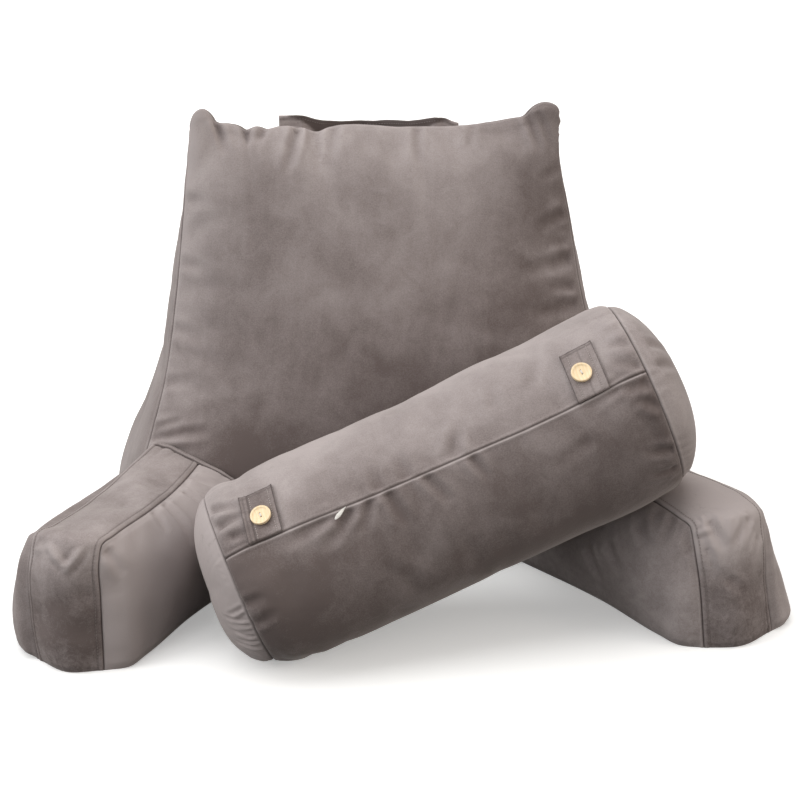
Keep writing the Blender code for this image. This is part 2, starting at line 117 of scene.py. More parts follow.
ARM_INNER_SEAM = {
    # along the top, round the front corner, down to the floor
    LEFT: (
        (0.2260, -0.028, 0.1260),
        (0.2620, -0.126, 0.1350),
        (0.2985, -0.189, 0.1362),
        (0.3095, -0.204, 0.1335),
        (0.3122, -0.210, 0.1230),
        (0.3128, -0.216, 0.0800),
        (0.3130, -0.222, 0.0000),
    ),
    RIGHT: (
        (0.2260, -0.028, 0.1260),
        (0.2610, -0.126, 0.1335),
        (0.2885, -0.186, 0.1325),
        (0.2965, -0.201, 0.1295),
        (0.2985, -0.208, 0.1185),
        (0.3050, -0.218, 0.0780),
        (0.3130, -0.225, 0.0000),
    ),
}
ARM_OUTER_SEAM = {
    LEFT: (
        (0.3190, -0.062, 0.1265),
        (0.3655, -0.152, 0.1315),
        (0.3790, -0.171, 0.1325),
        (0.3840, -0.181, 0.1130),
        (0.3860, -0.187, 0.0500),
        (0.3810, -0.194, 0.0000),
    ),
    RIGHT: (
        (0.3190, -0.062, 0.1340),
        (0.3680, -0.154, 0.1365),
        (0.3765, -0.172, 0.1315),
        (0.3790, -0.181, 0.1120),
        (0.3840, -0.187, 0.0500),
        (0.3920, -0.194, 0.0000),
    ),
}
POINTS_BELOW_CORNER = 3
ARM_INNER_FLOOR = ((0.226, -0.113, 0.0), (0.271, -0.193, 0.0), (0.288, -0.217, 0.0))
ARM_OUTER_FLOOR = {
    LEFT: ((0.387, -0.184, 0.0), (0.391, -0.112, 0.0), (0.350, -0.035, 0.0)),
    RIGHT: ((0.409, -0.180, 0.0), (0.402, -0.110, 0.0), (0.350, -0.035, 0.0)),
}
ARM_FRONT_FLOOR = {LEFT: (0.350, -0.223, 0.0), RIGHT: (0.350, -0.225, 0.0)}
ARM_INNER_ROOT = (
    (0.1450, 0.0000), (0.1480, 0.0300), (0.1560, 0.0750),
    (0.1665, 0.1015), (0.1890, 0.1190), (0.2105, 0.1290),
)
ARM_TOP_ROOT = ((0.2105, 0.1290), (0.2370, 0.1372), (0.2620, 0.1410))
ARM_OUTER_ROOT = ((0.2930, 0.0000), (0.2830, 0.0450), (0.2740, 0.0900), (0.2620, 0.1410))
ARM_INNER_CROWN = 0.018
ARM_OUTER_CROWN = {LEFT: 0.030, RIGHT: 0.0185}
ARM_OUTER_THINS = 0.75
ARM_OUTER_FILL_POWER = 0.32
ARM_STRIP_CROWN = 0.008
STRIP_FULL_SOON = 12.0
ROOT_GAP = 0.0010

ROLL_LEFT = np.array([-0.171, -0.183, 0.080])
ROLL_RIGHT = np.array([0.267, -0.1095, 0.2485])
ROLL_LENGTH = np.linalg.norm(ROLL_RIGHT - ROLL_LEFT)
ROLL_AXIS = (ROLL_RIGHT - ROLL_LEFT) / ROLL_LENGTH
ROLL_ROWS = (
    # share of the length, radius
    (0.000, 0.0920),
    (0.035, 0.1005),
    (0.100, 0.1048),
    (0.300, 0.1055),
    (0.500, 0.1050),
    (0.700, 0.1052),
    (0.900, 0.1065),
    (0.965, 0.1015),
    (1.000, 0.0925),
)
ROLL_END_RADIUS = ROLL_ROWS[0][1]
ROLL_MIDDLE_RADIUS = ROLL_ROWS[4][1]
ROLL_TOP_ANGLE = math.radians(-22.0)
ROLL_FLAT_TOP = (
    # share of the length, how much nearer the axis the top lies
    (0.00, 0.0015),
    (0.04, 0.0045),
    (0.09, 0.0078),
    (0.20, 0.0086),
    (0.42, 0.0100),
    (0.55, 0.0088),
    (0.68, 0.0064),
    (0.79, 0.0090),
    (0.87, 0.0068),
    (0.94, 0.0020),
    (1.00, -0.0008),
)
LEFT_CAP_BULGE = 0.033
RIGHT_CAP_BULGE = 0.029
CAP_SAG = 0.0075
CAP_SAG_ANGLE = math.radians(150.0)
ROLL_CAP_FULLNESS = 3.2
ZIP_ANGLE = math.radians(52.5)
ZIP_SWAY = (
    # share of the length, degrees that the zip seam lies below its middle line
    (0.00, -6.2),
    (0.10, -5.1),
    (0.20, -4.0),
    (0.35, -2.1),
    (0.50, -1.0),
    (0.60, -0.4),
    (0.70, 0.6),
    (0.80, 0.4),
    (0.88, -0.2),
    (0.94, -1.1),
    (1.00, -0.8),
)
CAP_SHIFT_ANGLE = math.radians(85.0)
LEFT_CAP_SHIFT = -0.007
RIGHT_CAP_SHIFT = 0.011
RIGHT_CAP_TILT = 0.007
PROFILE_STEPS = 200
CAP_STEPS = 60
ROLL_ROOM = 0.0030

# ---- How fine each cover is: cells for the filling, then the size of a finished cell.
FILL_CELL = 0.0064
BACKREST_CELLS = {"wide": 0.0030, "high": 0.0029, "deep": 0.0062}
ROLL_CELLS = {"along": 0.0028, "around": 0.0025, "inward": 0.0028}
ARM_CELLS = {"long": 0.0022, "tall": 0.0022, "across": 0.0022}
SEAM_ROWS = np.array([0.0009, 0.0019, 0.0032, 0.0048, 0.0062, 0.0078])

# ---- Filling by simulation.
FILL_FRAMES = 18
START_CROWN = 0.86
FILL_SMOOTHING = 3
FABRIC = {
    "quality": 5,
    "mass": 0.25,
    "tension_stiffness": 18.0,
    "compression_stiffness": 18.0,
    "shear_stiffness": 6.0,
    "bending_stiffness": 0.6,
    "vertex_group_mass": "held",
    "shrink_min": -0.035,
    "use_pressure": True,
    "uniform_pressure_force": 5.0,
}

# ---- Seams, gathers and folds on the filled covers, and the pressed pile, painted shade and painted highlights they bring to its colour.
SEAM_PRESS_SHADE_REACH = 0.0008
SEAM_DEPTH = 0.0012
SEAM_HALF_WIDTH = 0.0009
LIP_HEIGHT = 0.0006
LIP_PLACE = 0.0024
LIP_WIDTH = 0.0012
LIP_HIGHLIGHT = 0.20
ZIP_LIP_WIDTH = 0.0009
ZIP_LIP_HIGHLIGHT = 0.55
FELLED = ("strip",)
FELL_HEIGHT = 0.0010
FELL_WIDTH = 0.0062
FELL_LINE = 0.0008
FELL_STITCH_SHADE = 0.55
GATHER_START = 0.0034
FOLD_START = 0.0040
FOLD_LIFT = 0.035
RIDGE_PLACE = 1.8
RIDGE_WIDTH = 0.8
RIDGE_SHARE = 0.50
WRINKLE_SHADING = 46.0
NAP_LIMITS = (-0.8, 0.9)
CLOTH_PITCH = 0.002
TRIM_CRUSH = 0.3


def curve(points, steps):
    """A smooth curve through the points, read at steps from 0 to 1."""
    points = np.array(points, dtype=float)
    lengths = np.linalg.norm(np.diff(points, axis=0), axis=1)
    knots = np.concatenate([[0.0], np.cumsum(lengths)]) / lengths.sum()
    slopes = np.gradient(points, knots, axis=0)
    place = np.clip(np.searchsorted(knots, steps, side="right") - 1, 0, len(knots) - 2)
    width = (knots[place + 1] - knots[place])[:, None]
    s = ((steps - knots[place])[:, None]) / width
    start = points[place] * (1 + 2 * s) * (1 - s) ** 2 + slopes[place] * width * s * (1 - s) ** 2
    end = points[place + 1] * s ** 2 * (3 - 2 * s) - slopes[place + 1] * width * s ** 2 * (1 - s)
    return start + end


def knot_share(points, index):
    """How far along the curve the point with this index lies, from 0 to 1."""
    lengths = np.linalg.norm(np.diff(np.array(points), axis=0), axis=1)
    return lengths[:index].sum() / lengths.sum()


def even(cells):
    return np.linspace(0.0, 1.0, cells + 1)


def swell(cells, power=FILL_POWER):
    """How full a filled panel is from one seam to the other."""
    t = even(cells)
    return (4.0 * t * (1.0 - t)) ** power


def bell(away, width):
    """1 where away is 0, falling to nothing on both sides."""
    return np.exp(-(away / width) ** 2)


def unit(vectors):
    return vectors / np.maximum(np.linalg.norm(vectors, axis=-1, keepdims=True), 1e-12)


def grid_normals(grid):
    return unit(np.cross(np.gradient(grid, axis=1), np.gradient(grid, axis=0)))


def panel(low, high, left, right, crown, power=FILL_POWER):
    """A panel between four seams, raised by its filling. Low and high run the same way."""
    u = even(len(low) - 1)[None, :, None]
    v = even(len(left) - 1)[:, None, None]
    corners = (1 - u) * (1 - v) * low[0] + u * (1 - v) * low[-1]
    corners = corners + (1 - u) * v * high[0] + u * v * high[-1]
    grid = (1 - v) * low + v * high + (1 - u) * left[:, None] + u * right[:, None] - corners
    fill = swell(len(left) - 1, power)[:, None] * swell(len(low) - 1, power)[None, :]
    return grid + grid_normals(grid) * (crown * fill)[:, :, None]


def cells_for(length):
    """How many filling cells go along a length."""
    return max(4, round(length / FILL_CELL))


def all_points(grids):
    return np.concatenate([grid.reshape(-1, 3) for grid in grids])


def weld(grids):
    """Merge the shared seams: vertex numbers for each panel, and the first point of each number."""
    points = all_points(grids)
    rounded = np.round(points, WELD_DECIMALS) + 0.0
    _, first, number = np.unique(rounded, axis=0, return_index=True, return_inverse=True)
    number = number.ravel()
    numbers = []
    start = 0
    for grid in grids:
        count = grid.shape[0] * grid.shape[1]
        numbers.append(number[start:start + count].reshape(grid.shape[:2]))
        start += count
    return numbers, first


def cell_corners(grid):
    """The values at the four corners of each cell of a grid."""
    return np.stack([grid[:-1, :-1], grid[:-1, 1:], grid[1:, 1:], grid[1:, :-1]], axis=2)


def quads_of(numbers):
    """Four-sided faces of one grid of vertex numbers, three-sided where the grid closes up."""
    quads = cell_corners(numbers).reshape(-1, 4)
    return [tuple(dict.fromkeys(quad)) for quad in quads.tolist()]


def mesh_object(name, places, faces, material):
    data = bpy.data.meshes.new(name)
    data.from_pydata((places + SEAT_SHIFT).tolist(), [], faces)
    data.materials.append(material)
    data.shade_smooth()
    thing = bpy.data.objects.new(name, data)
    bpy.context.collection.objects.link(thing)
    return thing


def mark(thing, name, values):
    """Keep one value for each point of a mesh, for its material to read."""
    kept = thing.data.attributes.new(name, "FLOAT", "POINT")
    kept.data.foreach_set("value", np.asarray(values, dtype=np.float32).ravel())


def lay_out(thing, spots):
    """Give a mesh its cloth coordinates, in metres, from one spot for each point."""
    lay = thing.data.uv_layers.new(name="cloth")
    corner = np.zeros(len(thing.data.loops), dtype=np.int32)
    thing.data.loops.foreach_get("vertex_index", corner)
    lay.data.foreach_set("uv", np.asarray(spots, dtype=np.float32)[corner].ravel())


def smoothed(grid, passes):
    """A grid of values with its small wobbles taken out, its four sides left as they are."""
    for _ in range(passes):
        middle = grid[:-2, 1:-1] + grid[2:, 1:-1] + grid[1:-1, :-2] + grid[1:-1, 2:]
        grid = grid.copy()
        grid[1:-1, 1:-1] = 0.5 * grid[1:-1, 1:-1] + 0.125 * middle
    return grid


def fill_cover(name, full, start, held, most):
    """Fill one cover: its seams are held, and its panels swell and pucker with spare cloth."""
    numbers, first = weld(start)
    places, target = all_points(start)[first], all_points(full)[first]
    faces = [quad for number in numbers for quad in quads_of(number)]
    cover = mesh_object(name + "_cover", places, faces, VELVET)
    pinned = sorted({int(n) for mask, number in zip(held, numbers) for n in number[mask]})
    cover.vertex_groups.new(name="held").add(pinned, 1.0, "REPLACE")
    cloth = cover.modifiers.new("filling", "CLOTH")
    for setting, value in FABRIC.items():
        setattr(cloth.settings, setting, value)
    cloth.settings.effector_weights.gravity = 0.0
    cloth.collision_settings.use_collision = False
    cloth.point_cache.frame_start = 1
    cloth.point_cache.frame_end = FILL_FRAMES
    for step in range(1, FILL_FRAMES + 1):
        bpy.context.scene.frame_set(step)
    filled = cover.evaluated_get(bpy.context.evaluated_depsgraph_get())
    flat = np.zeros(3 * len(places))
    filled.data.vertices.foreach_get("co", flat)
    bpy.data.objects.remove(cover, do_unlink=True)
    bpy.context.scene.frame_set(1)
    moved = flat.reshape(-1, 3) - SEAT_SHIFT - target
    size = np.linalg.norm(moved, axis=1, keepdims=True)
    moved[pinned] = 0.0
    filled = []
    for number, limit in zip(numbers, most):
        shift = (moved * limit / (limit + size))[number]
        filled.append(target[number] + smoothed(shift, FILL_SMOOTHING))
    return filled


# ---- Panels of each cover. A layout row says how a panel's sides run and which of them are sewn.
BACKREST_LAYOUT = (
    # panel, columns run, rows run, sewn sides, most that it swells
    ("front", "wide", "high", "high left right", 0.009),
    ("rear", "wide", "high", "high left right", 0.009),
    ("left", "deep", "high", "high left right", 0.004),
    ("right", "deep", "high", "high left right", 0.004),
    ("top", "wide", "deep", "low high left right", 0.001),
    ("floor", "wide", "deep", "", 0.0),
)
BACKREST_RUNS = {"wide": 0.50, "high": 0.50, "deep": 0.16}
ARM_LAYOUT = (
    ("inner", "long", "tall", "high left right", 0.005),
    ("outer", "long", "tall", "high left right", 0.003),
    ("strip", "across", "over", "high left right", 0.004),
    ("root", "across", "tall", "", 0.0),
    ("floor", "across", "long", "", 0.0),
)
ARM_RUNS = {"long": 0.20, "tall": 0.130, "across": 0.085}
ROLL_LAYOUT = (
    ("side", "along", "around", "low high left right", 0.006),
    ("left_cap", "around", "inward", "low", 0.005),
    ("right_cap", "around", "inward", "low", 0.005),
)
ROLL_RUNS = {"along": 0.475, "around": 0.640, "inward": 0.105}


def upright_seam(rows, side, cells):
    """One upright seam of the backrest, from the floor to its top corner."""
    halves = [row[1] if side == LEFT else row[2] for row in rows]
    points = [(side * half, row[3], row[0]) for half, row in zip(halves, rows)]
    return curve(points, even(cells))


def bowed(start, end, push, cells):
    """A floor edge that the filling pushes out between its two corners."""
    return curve((start, end), even(cells)) + swell(cells, BOW_POWER)[:, None] * np.array(push)


def backrest_grids(fullness):
    wide, high, deep = (cells_for(BACKREST_RUNS[run]) for run in ("wide", "high", "deep"))
    front_left = upright_seam(FRONT_ROWS, LEFT, high)
    front_right = upright_seam(FRONT_ROWS, RIGHT, high)
    rear_left = upright_seam(REAR_ROWS, LEFT, high)
    rear_right = upright_seam(REAR_ROWS, RIGHT, high)
    front_top = curve([(x, FRONT_ROWS[-1][3], height) for x, height in TOP_SEAM], even(wide))
    plain_top = curve((front_left[-1], front_right[-1]), even(wide))
    rear_top = curve((rear_left[-1], rear_right[-1]), even(wide))
    left_top = curve((front_left[-1], rear_left[-1]), even(deep))
    right_top = curve((front_right[-1], rear_right[-1]), even(deep))
    front_floor = curve((front_left[0], front_right[0]), even(wide))
    rear_floor = bowed(rear_left[0], rear_right[0], (0.0, REAR_BOW, 0.0), wide)
    left_floor = bowed(front_left[0], rear_left[0], (-SIDE_BOW, 0.0, 0.0), deep)
    right_floor = bowed(front_right[0], rear_right[0], (SIDE_BOW, 0.0, 0.0), deep)
    rear_edges = (rear_floor[::-1], rear_top[::-1], rear_right, rear_left)
    left_edges = (left_floor[::-1], left_top[::-1], rear_left, front_left)
    front = panel(front_floor, plain_top, front_left, front_right, FRONT_CROWN * fullness)
    near_top = np.clip(1.0 - (1.0 - even(high)) / TOP_FADE, 0.0, 1.0) ** TOP_FADE_POWER
    front = front + near_top[:, None, None] * (front_top - plain_top)
    return [
        front,
        panel(*rear_edges, REAR_CROWN * fullness),
        panel(*left_edges, SIDE_CROWN * fullness),
        panel(right_floor, right_top, front_right, rear_right, SIDE_CROWN * fullness),
        panel(front_top, rear_top, left_top, right_top, TOP_CROWN * fullness),
        panel(rear_floor, front_floor, left_floor[::-1], right_floor[::-1], 0.0),
    ]


def first_hit(tree, point, direction):
    """Where a line along the direction, through the point, first meets the surface."""
    return tree.ray_cast(Vector(point) - direction, direction)[0]


def root_seam(points, cells, side, tree):
    """A seam of the arm that lies on the front of the backrest."""
    seam = []
    for x, height in curve(points, even(cells)):
        hit = first_hit(tree, (side * x, 0.0, max(height, FLOOR_SKIM)), TOWARD_REAR)
        seam.append((x, hit.y - ROOT_GAP, height))
    return np.array(seam)


def arm_seam(points, long, tall):
    """A long seam of the arm, with one sample exactly on its front corner."""
    corner = knot_share(points, len(points) - 1 - POINTS_BELOW_CORNER)
    down = corner + (1.0 - corner) * even(tall)
    return curve(points, np.concatenate([corner * even(long), down[1:]]))


def arm_strip(inner, outer, floor_edge, root_edge, crown):
    """The boxing strip, which runs up the front and back along the top."""
    left, right = inner[::-1], outer[::-1]
    across = even(len(floor_edge) - 1)[None, :, None]
    share = even(len(left) - 1)[:, None, None]
    grid = (1 - across) * left[:, None] + across * right[:, None]
    grid = grid + (1 - share) * (floor_edge - grid[0]) + share * (root_edge - grid[-1])
    lengthwise = np.clip(STRIP_FULL_SOON * share * (1.0 - share), 0.0, 1.0)[:, :, 0] ** FILL_POWER
    fill = lengthwise * swell(len(floor_edge) - 1)[None, :]
    return grid + grid_normals(grid) * (crown * fill)[:, :, None]


def arm_grids(side, tree, fullness):
    long, tall, across = (cells_for(ARM_RUNS[run]) for run in ("long", "tall", "across"))
    inner_root = root_seam(ARM_INNER_ROOT, tall, side, tree)
    outer_root = root_seam(ARM_OUTER_ROOT, tall, side, tree)
    root_top = root_seam(ARM_TOP_ROOT, across, side, tree)
    inner = arm_seam([inner_root[-1], *ARM_INNER_SEAM[side]], long, tall)
    outer = arm_seam([outer_root[-1], *ARM_OUTER_SEAM[side]], long, tall)
    inner_top, outer_top = inner[:long + 1], outer[:long + 1]
    inner_front, outer_front = inner[long:][::-1], outer[long:][::-1]
    inner_floor = curve([inner_root[0], *ARM_INNER_FLOOR, inner[-1]], even(long))
    outer_floor = curve([outer[-1], *ARM_OUTER_FLOOR[side], outer_root[0]], even(long))
    front_floor = curve([inner[-1], ARM_FRONT_FLOOR[side], outer[-1]], even(across))
    root_floor = curve((inner_root[0], outer_root[0]), even(across))
    root = panel(root_floor[::-1], root_top[::-1], outer_root, inner_root, 0.0)
    for point in root.reshape(-1, 3):
        spot = (side * point[0], 0.0, max(point[2], FLOOR_SKIM))
        point[1] = first_hit(tree, spot, TOWARD_REAR).y - ROOT_GAP
    inner_edges = (inner_floor, inner_top, inner_root, inner_front)
    outer_edges = (outer_floor, outer_top[::-1], outer_front, outer_root)
    outer_crown = ARM_OUTER_CROWN[side] * (1.0 - ARM_OUTER_THINS * even(long))[None, :]
    grids = [
        panel(*inner_edges, ARM_INNER_CROWN * fullness),
        panel(*outer_edges, outer_crown * fullness, ARM_OUTER_FILL_POWER),
        arm_strip(inner, outer, front_floor, root_top, ARM_STRIP_CROWN * fullness),
        root,
        panel(root_floor, front_floor, inner_floor, outer_floor[::-1], 0.0),
    ]
    if side == RIGHT:
        return grids
    return [grid[:, ::-1] * np.array([LEFT, 1.0, 1.0]) for grid in grids]


def roll_spoke(angle):
    """Straight out of the roll, at an angle from its top towards its front."""
    up = np.array([0.0, 0.0, 1.0]) - ROLL_AXIS * ROLL_AXIS[2]
    up = up / np.linalg.norm(up)
    return up * math.cos(angle) + np.cross(ROLL_AXIS, up) * math.sin(angle)


def roll_spokes(angles):
    """Straight out of the roll, for a grid of angles."""
    upward, forward = roll_spoke(0.0), roll_spoke(0.5 * math.pi)
    return upward * np.cos(angles)[..., None] + forward * np.sin(angles)[..., None]


def along_roll(rows, share):
    """A measure of the roll at a share of its length, read smoothly from its table."""
    smooth = curve(rows, even(PROFILE_STEPS))
    return np.interp(share, smooth[:, 0], smooth[:, 1])


def roll_radius(share):
    return along_roll(ROLL_ROWS, share)


def zip_angle(share):
    """The zip seam sags a little at the middle of the roll and climbs at both ends."""
    shares, turns = zip(*ZIP_SWAY)
    return ZIP_ANGLE + np.radians(np.interp(share, shares, turns))


def flat_top(share):
    """How far the top of the roll is drawn in towards its axis."""
    return along_roll(ROLL_FLAT_TOP, share)


def roll_profile(fullness):
    """Half outline of the filled roll, pole to pole: its run, way along the axis and radius."""
    shares = even(PROFILE_STEPS)
    radii = roll_radius(shares)
    ends = min(radii[0], radii[-1])
    radii = ends + (radii - ends) * fullness
    steps = np.cos(0.5 * math.pi * even(CAP_STEPS))
    steps[-1] = 0.0
    bulge = fullness * (1.0 - steps ** ROLL_CAP_FULLNESS)
    left_end, right_end = LEFT_CAP_BULGE * bulge, RIGHT_CAP_BULGE * bulge
    along = np.concatenate([-left_end[:0:-1], shares * ROLL_LENGTH, ROLL_LENGTH + right_end[1:]])
    radius = np.concatenate([(radii[0] * steps)[:0:-1], radii, radii[-1] * steps[1:]])
    run = np.concatenate([[0.0], np.cumsum(np.hypot(np.diff(along), np.diff(radius)))])
    return run, along, radius, run[CAP_STEPS], run[CAP_STEPS + PROFILE_STEPS]


def roll_grids(fullness):
    along, around, inward = (cells_for(ROLL_RUNS[run]) for run in ("along", "around", "inward"))
    run, axial, radius, left_ring, right_ring = roll_profile(fullness)

    def places(spots, angles):
        angles = np.broadcast_to(angles, spots.shape)
        out, forward = np.interp(spots, run, radius), np.interp(spots, run, axial)
        upper = 0.5 + 0.5 * np.cos(angles - ROLL_TOP_ANGLE)
        drawn_in = flat_top(forward / ROLL_LENGTH) * upper
        out = out - drawn_in * np.minimum(out / ROLL_END_RADIUS, 1.0)
        grid = ROLL_LEFT + ROLL_AXIS * forward[..., None] + roll_spokes(angles) * out[..., None]
        grid[..., 2] = np.maximum(grid[..., 2], 0.0)
        return grid

    turns = 2.0 * math.pi * even(around)
    left_angles, right_angles = zip_angle(0.0) - turns, zip_angle(1.0) - turns
    left = left_ring + LEFT_CAP_SHIFT * np.cos(left_angles - CAP_SHIFT_ANGLE)
    right = right_ring - RIGHT_CAP_SHIFT - RIGHT_CAP_TILT * np.cos(right_angles - CAP_SHIFT_ANGLE)
    left[-1], right[-1] = left[0], right[0]
    share = even(along)[None, :]
    spots = left[:, None] + (right - left)[:, None] * share
    side = places(spots, zip_angle(share) - turns[:, None])
    side[-1] = side[0]
    step = even(inward)[:, None]
    left_cap = places(left[None] * (1.0 - step), np.append(left_angles[:-1], left_angles[0]))
    ends = np.append(right_angles[:-1], right_angles[0])
    sag = CAP_SAG * fullness * np.maximum(np.cos(left_angles - CAP_SAG_ANGLE), 0.0)
    spread = swell(len(left_cap) - 1, BOW_POWER)[:, None] * sag
    sagging = roll_spoke(CAP_SAG_ANGLE) - ROLL_AXIS
    left_cap = left_cap + spread[..., None] * sagging
    left_cap[..., 2] = np.maximum(left_cap[..., 2], 0.0)
    right_cap = places(right[None] + (run[-1] - right[None]) * step, ends)[:, ::-1]
    left_cap[-1], right_cap[-1] = left_cap[-1, 0], right_cap[-1, 0]
    return [side, left_cap, right_cap]


def held_parts(layout, grids):
    """Which points of each panel stay where they are while the cover is filled."""
    held = []
    for (name, _, _, sewn, _), grid in zip(layout, grids):
        mask = np.zeros(grid.shape[:2], dtype=bool)
        mask[0] |= "low" in sewn
        mask[-1] |= "high" in sewn
        mask[:, 0] |= "left" in sewn
        mask[:, -1] |= "right" in sewn
        mask |= name in ("floor", "root")
        held.append(mask | (grid[:, :, 2] < FLOOR_SKIM))
    return held


def fine_shares(length, cell):
    """Where the rows of finished cells lie, closer together beside the seams."""
    beside = SEAM_ROWS / length
    inner = np.linspace(beside[-1], 1.0 - beside[-1], max(4, round(length / cell)))
    return np.concatenate([[0.0], beside[:-1], inner, 1.0 - beside[-2::-1], [1.0]])


def between(grid, shares, closed):
    """Smooth values between the rows of a grid."""
    last = len(grid) - 1
    k = np.clip(np.floor(shares * last).astype(int), 0, last - 1)
    t = (shares * last - k)[:, None, None]
    before = grid[(k - 1) % last] if closed else grid[np.maximum(k - 1, 0)]
    after = grid[(k + 2) % last] if closed else grid[np.minimum(k + 2, last)]
    if not closed:
        before = np.where((k == 0)[:, None, None], 2 * grid[0] - grid[1], before)
        after = np.where((k == last - 1)[:, None, None], 2 * grid[-1] - grid[-2], after)
    here, there = grid[k], grid[k + 1]
    cubic = 3.0 * (here - there) + after - before
    square = 2.0 * before - 5.0 * here + 4.0 * there - after
    return here + 0.5 * t * (there - before + t * (square + t * cubic))


class Cover:
    """A finished cover: fine panels over one welded set of places."""

    def __init__(self, layout, runs, grids, cells):
        self.names = [row[0] for row in layout]
        self.sewn = {row[0]: row[3].split() for row in layout}
        shares = {run: fine_shares(length, cells[run]) for run, length in runs.items()}
        if "over" in {row[2] for row in layout}:
            tall, long = cells_for(runs["tall"]), cells_for(runs["long"])
            corner = tall / (tall + long)
            over = (shares["tall"] * corner, corner + (1.0 - corner) * shares["long"][1:])
            shares["over"] = np.concatenate(over)
        fine = []
        for (name, columns, rows, _, _), grid in zip(layout, grids):
            ring = name.endswith("_cap")
            grid = between(grid, shares[rows], False)
            grid = between(grid.transpose(1, 0, 2), shares[columns], ring).transpose(1, 0, 2)
            fine.append(grid)
        numbers, first = weld(fine)
        self.places = all_points(fine)[first]
        self.numbers = dict(zip(self.names, numbers))
        self.away = {name: self.distances(name) for name in self.names}
        self.wrinkles = {}

    def grid(self, name):
        return self.places[self.numbers[name]]

    def distances(self, name):
        """How far each point of a panel is from its four sides, along the cloth."""
        grid = self.grid(name)
        up = np.linalg.norm(np.diff(grid, axis=0), axis=2)
        across = np.linalg.norm(np.diff(grid, axis=1), axis=2)
        low = np.vstack([np.zeros((1, grid.shape[1])), np.cumsum(up, axis=0)])
        left = np.hstack([np.zeros((grid.shape[0], 1)), np.cumsum(across, axis=1)])
        return {"low": low, "high": low[-1] - low, "left": left, "right": left[:, -1:] - left}

    def normals(self):
        total = np.zeros_like(self.places)
        for name in self.names:
            normals = grid_normals(self.grid(name))
            for axis in range(3):
                flat = normals[:, :, axis].ravel()
                total[:, axis] += np.bincount(self.numbers[name].ravel(), flat, len(total))
        return unit(total)

    def raise_by(self, heights):
        """Move the cloth out by a grid of heights for each panel. Shared seams take the mean."""
        total = np.zeros(len(self.places))
        count = np.full(len(self.places), 1e-9)
        for name, height in heights.items():
            number = self.numbers[name].ravel()
            total += np.bincount(number, height.ravel(), len(total))
            count += np.bincount(number, None, len(total))
        self.places = self.places + self.normals() * (total / count)[:, None]
        self.places[:, 2] = np.maximum(self.places[:, 2], 0.0)

    def line(self, name, side, distance):
        """Points and outward directions on a panel, at one distance from one of its sides."""
        outward = self.normals()[self.numbers[name]]
        away, places = self.away[name][side], self.grid(name)
        if side in ("low", "high"):
            away, places, outward = away.T, places.transpose(1, 0, 2), outward.transpose(1, 0, 2)
        if side in ("high", "right"):
            away, places, outward = away[:, ::-1], places[:, ::-1], outward[:, ::-1]
        both = np.concatenate([places, outward], axis=2)
        found = np.array([
            [np.interp(distance, at, row[:, k]) for k in range(6)] for at, row in zip(away, both)
        ])
        return found[:, :3], found[:, 3:]

    def edge_distance(self, name):
        """How far each point of a panel is from the nearest sewn seam."""
        away = [self.away[name][side] for side in self.sewn[name]]
        return np.min(away, axis=0) if away else np.full(self.numbers[name].shape, 1.0)

    def make(self, thing_name, material, lean, crush):
        """The cover as an object, with its cloth laid out in metres, its seams marked dark with
        pressed pile and painted shade, and its painted light and shade kept for its material.
        """
        faces = [quad for name in self.names for quad in quads_of(self.numbers[name])]
        thing = mesh_object(thing_name, self.places, faces, material)
        seam, pile_and_painted_light, crushed = np.zeros((3, len(self.places)))
        corners = []
        for name in self.names:
            number = self.numbers[name]
            away = self.edge_distance(name)
            # Darker along each seam: pressed pile and painted shade in the seam's groove, and on
            # the felled strip along its stitch line.
            near = bell(away, SEAM_PRESS_SHADE_REACH)
            if name in FELLED:
                near = np.maximum(near, FELL_STITCH_SHADE * bell(away - FELL_WIDTH, FELL_LINE))
            np.maximum.at(seam, number.ravel(), near.ravel())
            # Painted highlight on the raised lip beside each seam.
            lip = LIP_HIGHLIGHT * bell(away - LIP_PLACE, LIP_WIDTH)
            # The lean function paints light and shade; folds add painted shade in their valleys and
            # painted highlights on their ridges.
            tone = lean(name, self.grid(name)) + WRINKLE_SHADING * self.wrinkles[name] + lip
            pile_and_painted_light[number.ravel()] = np.clip(tone, *NAP_LIMITS).ravel()
            crushed[number.ravel()] = crush(name, self.grid(name)).ravel()
            flat = np.stack([self.away[name]["left"], self.away[name]["low"]], axis=-1)
            cells = cell_corners(flat).reshape(-1, 4, 2).tolist()
            for quad, spots in zip(cell_corners(number).reshape(-1, 4).tolist(), cells):
                corners += list(dict(zip(quad[::-1], spots[::-1])).values())[::-1]
        mark(thing, "seam", seam)
        mark(thing, "pile_and_painted_light", pile_and_painted_light)
        mark(thing, "crushed", crushed)
        lay = thing.data.uv_layers.new(name="cloth")
        lay.data.foreach_set("uv", np.array(corners, dtype=np.float32).ravel())
        return thing


def waves(run, seed, pitch):
    """Smooth uneven waves from -1 to 1 along a run."""
    rng = np.random.default_rng(seed)
    total = np.zeros_like(run)
    for share in (0.55, 0.8, 1.0, 1.45):
        total += np.cos(2.0 * math.pi * run / (pitch * share) + rng.uniform(0.0, 2.0 * math.pi))
    return total / 4.0


def gathers(away, run, seed, pitch, height, reach):
    """Soft tufts between sharp little creases, that stand square to a seam and die away from it."""
    slant = 0.35 * waves(run, seed + 1, 0.19)
    along = run + slant * away
    turn = math.pi * along / pitch + 1.9 * waves(along, seed + 2, 0.16)
    tufts = np.abs(np.cos(turn)) ** 0.75 - 0.62
    strength = np.clip(0.55 + 0.75 * waves(along, seed + 3, 0.11), 0.05, 1.4)
    length = reach * (0.75 + 0.6 * waves(along, seed + 4, 0.13))
    rise = 1.0 - bell(away, GATHER_START)
    return height * strength * tufts * rise * np.exp(-(away / length) ** 1.2)


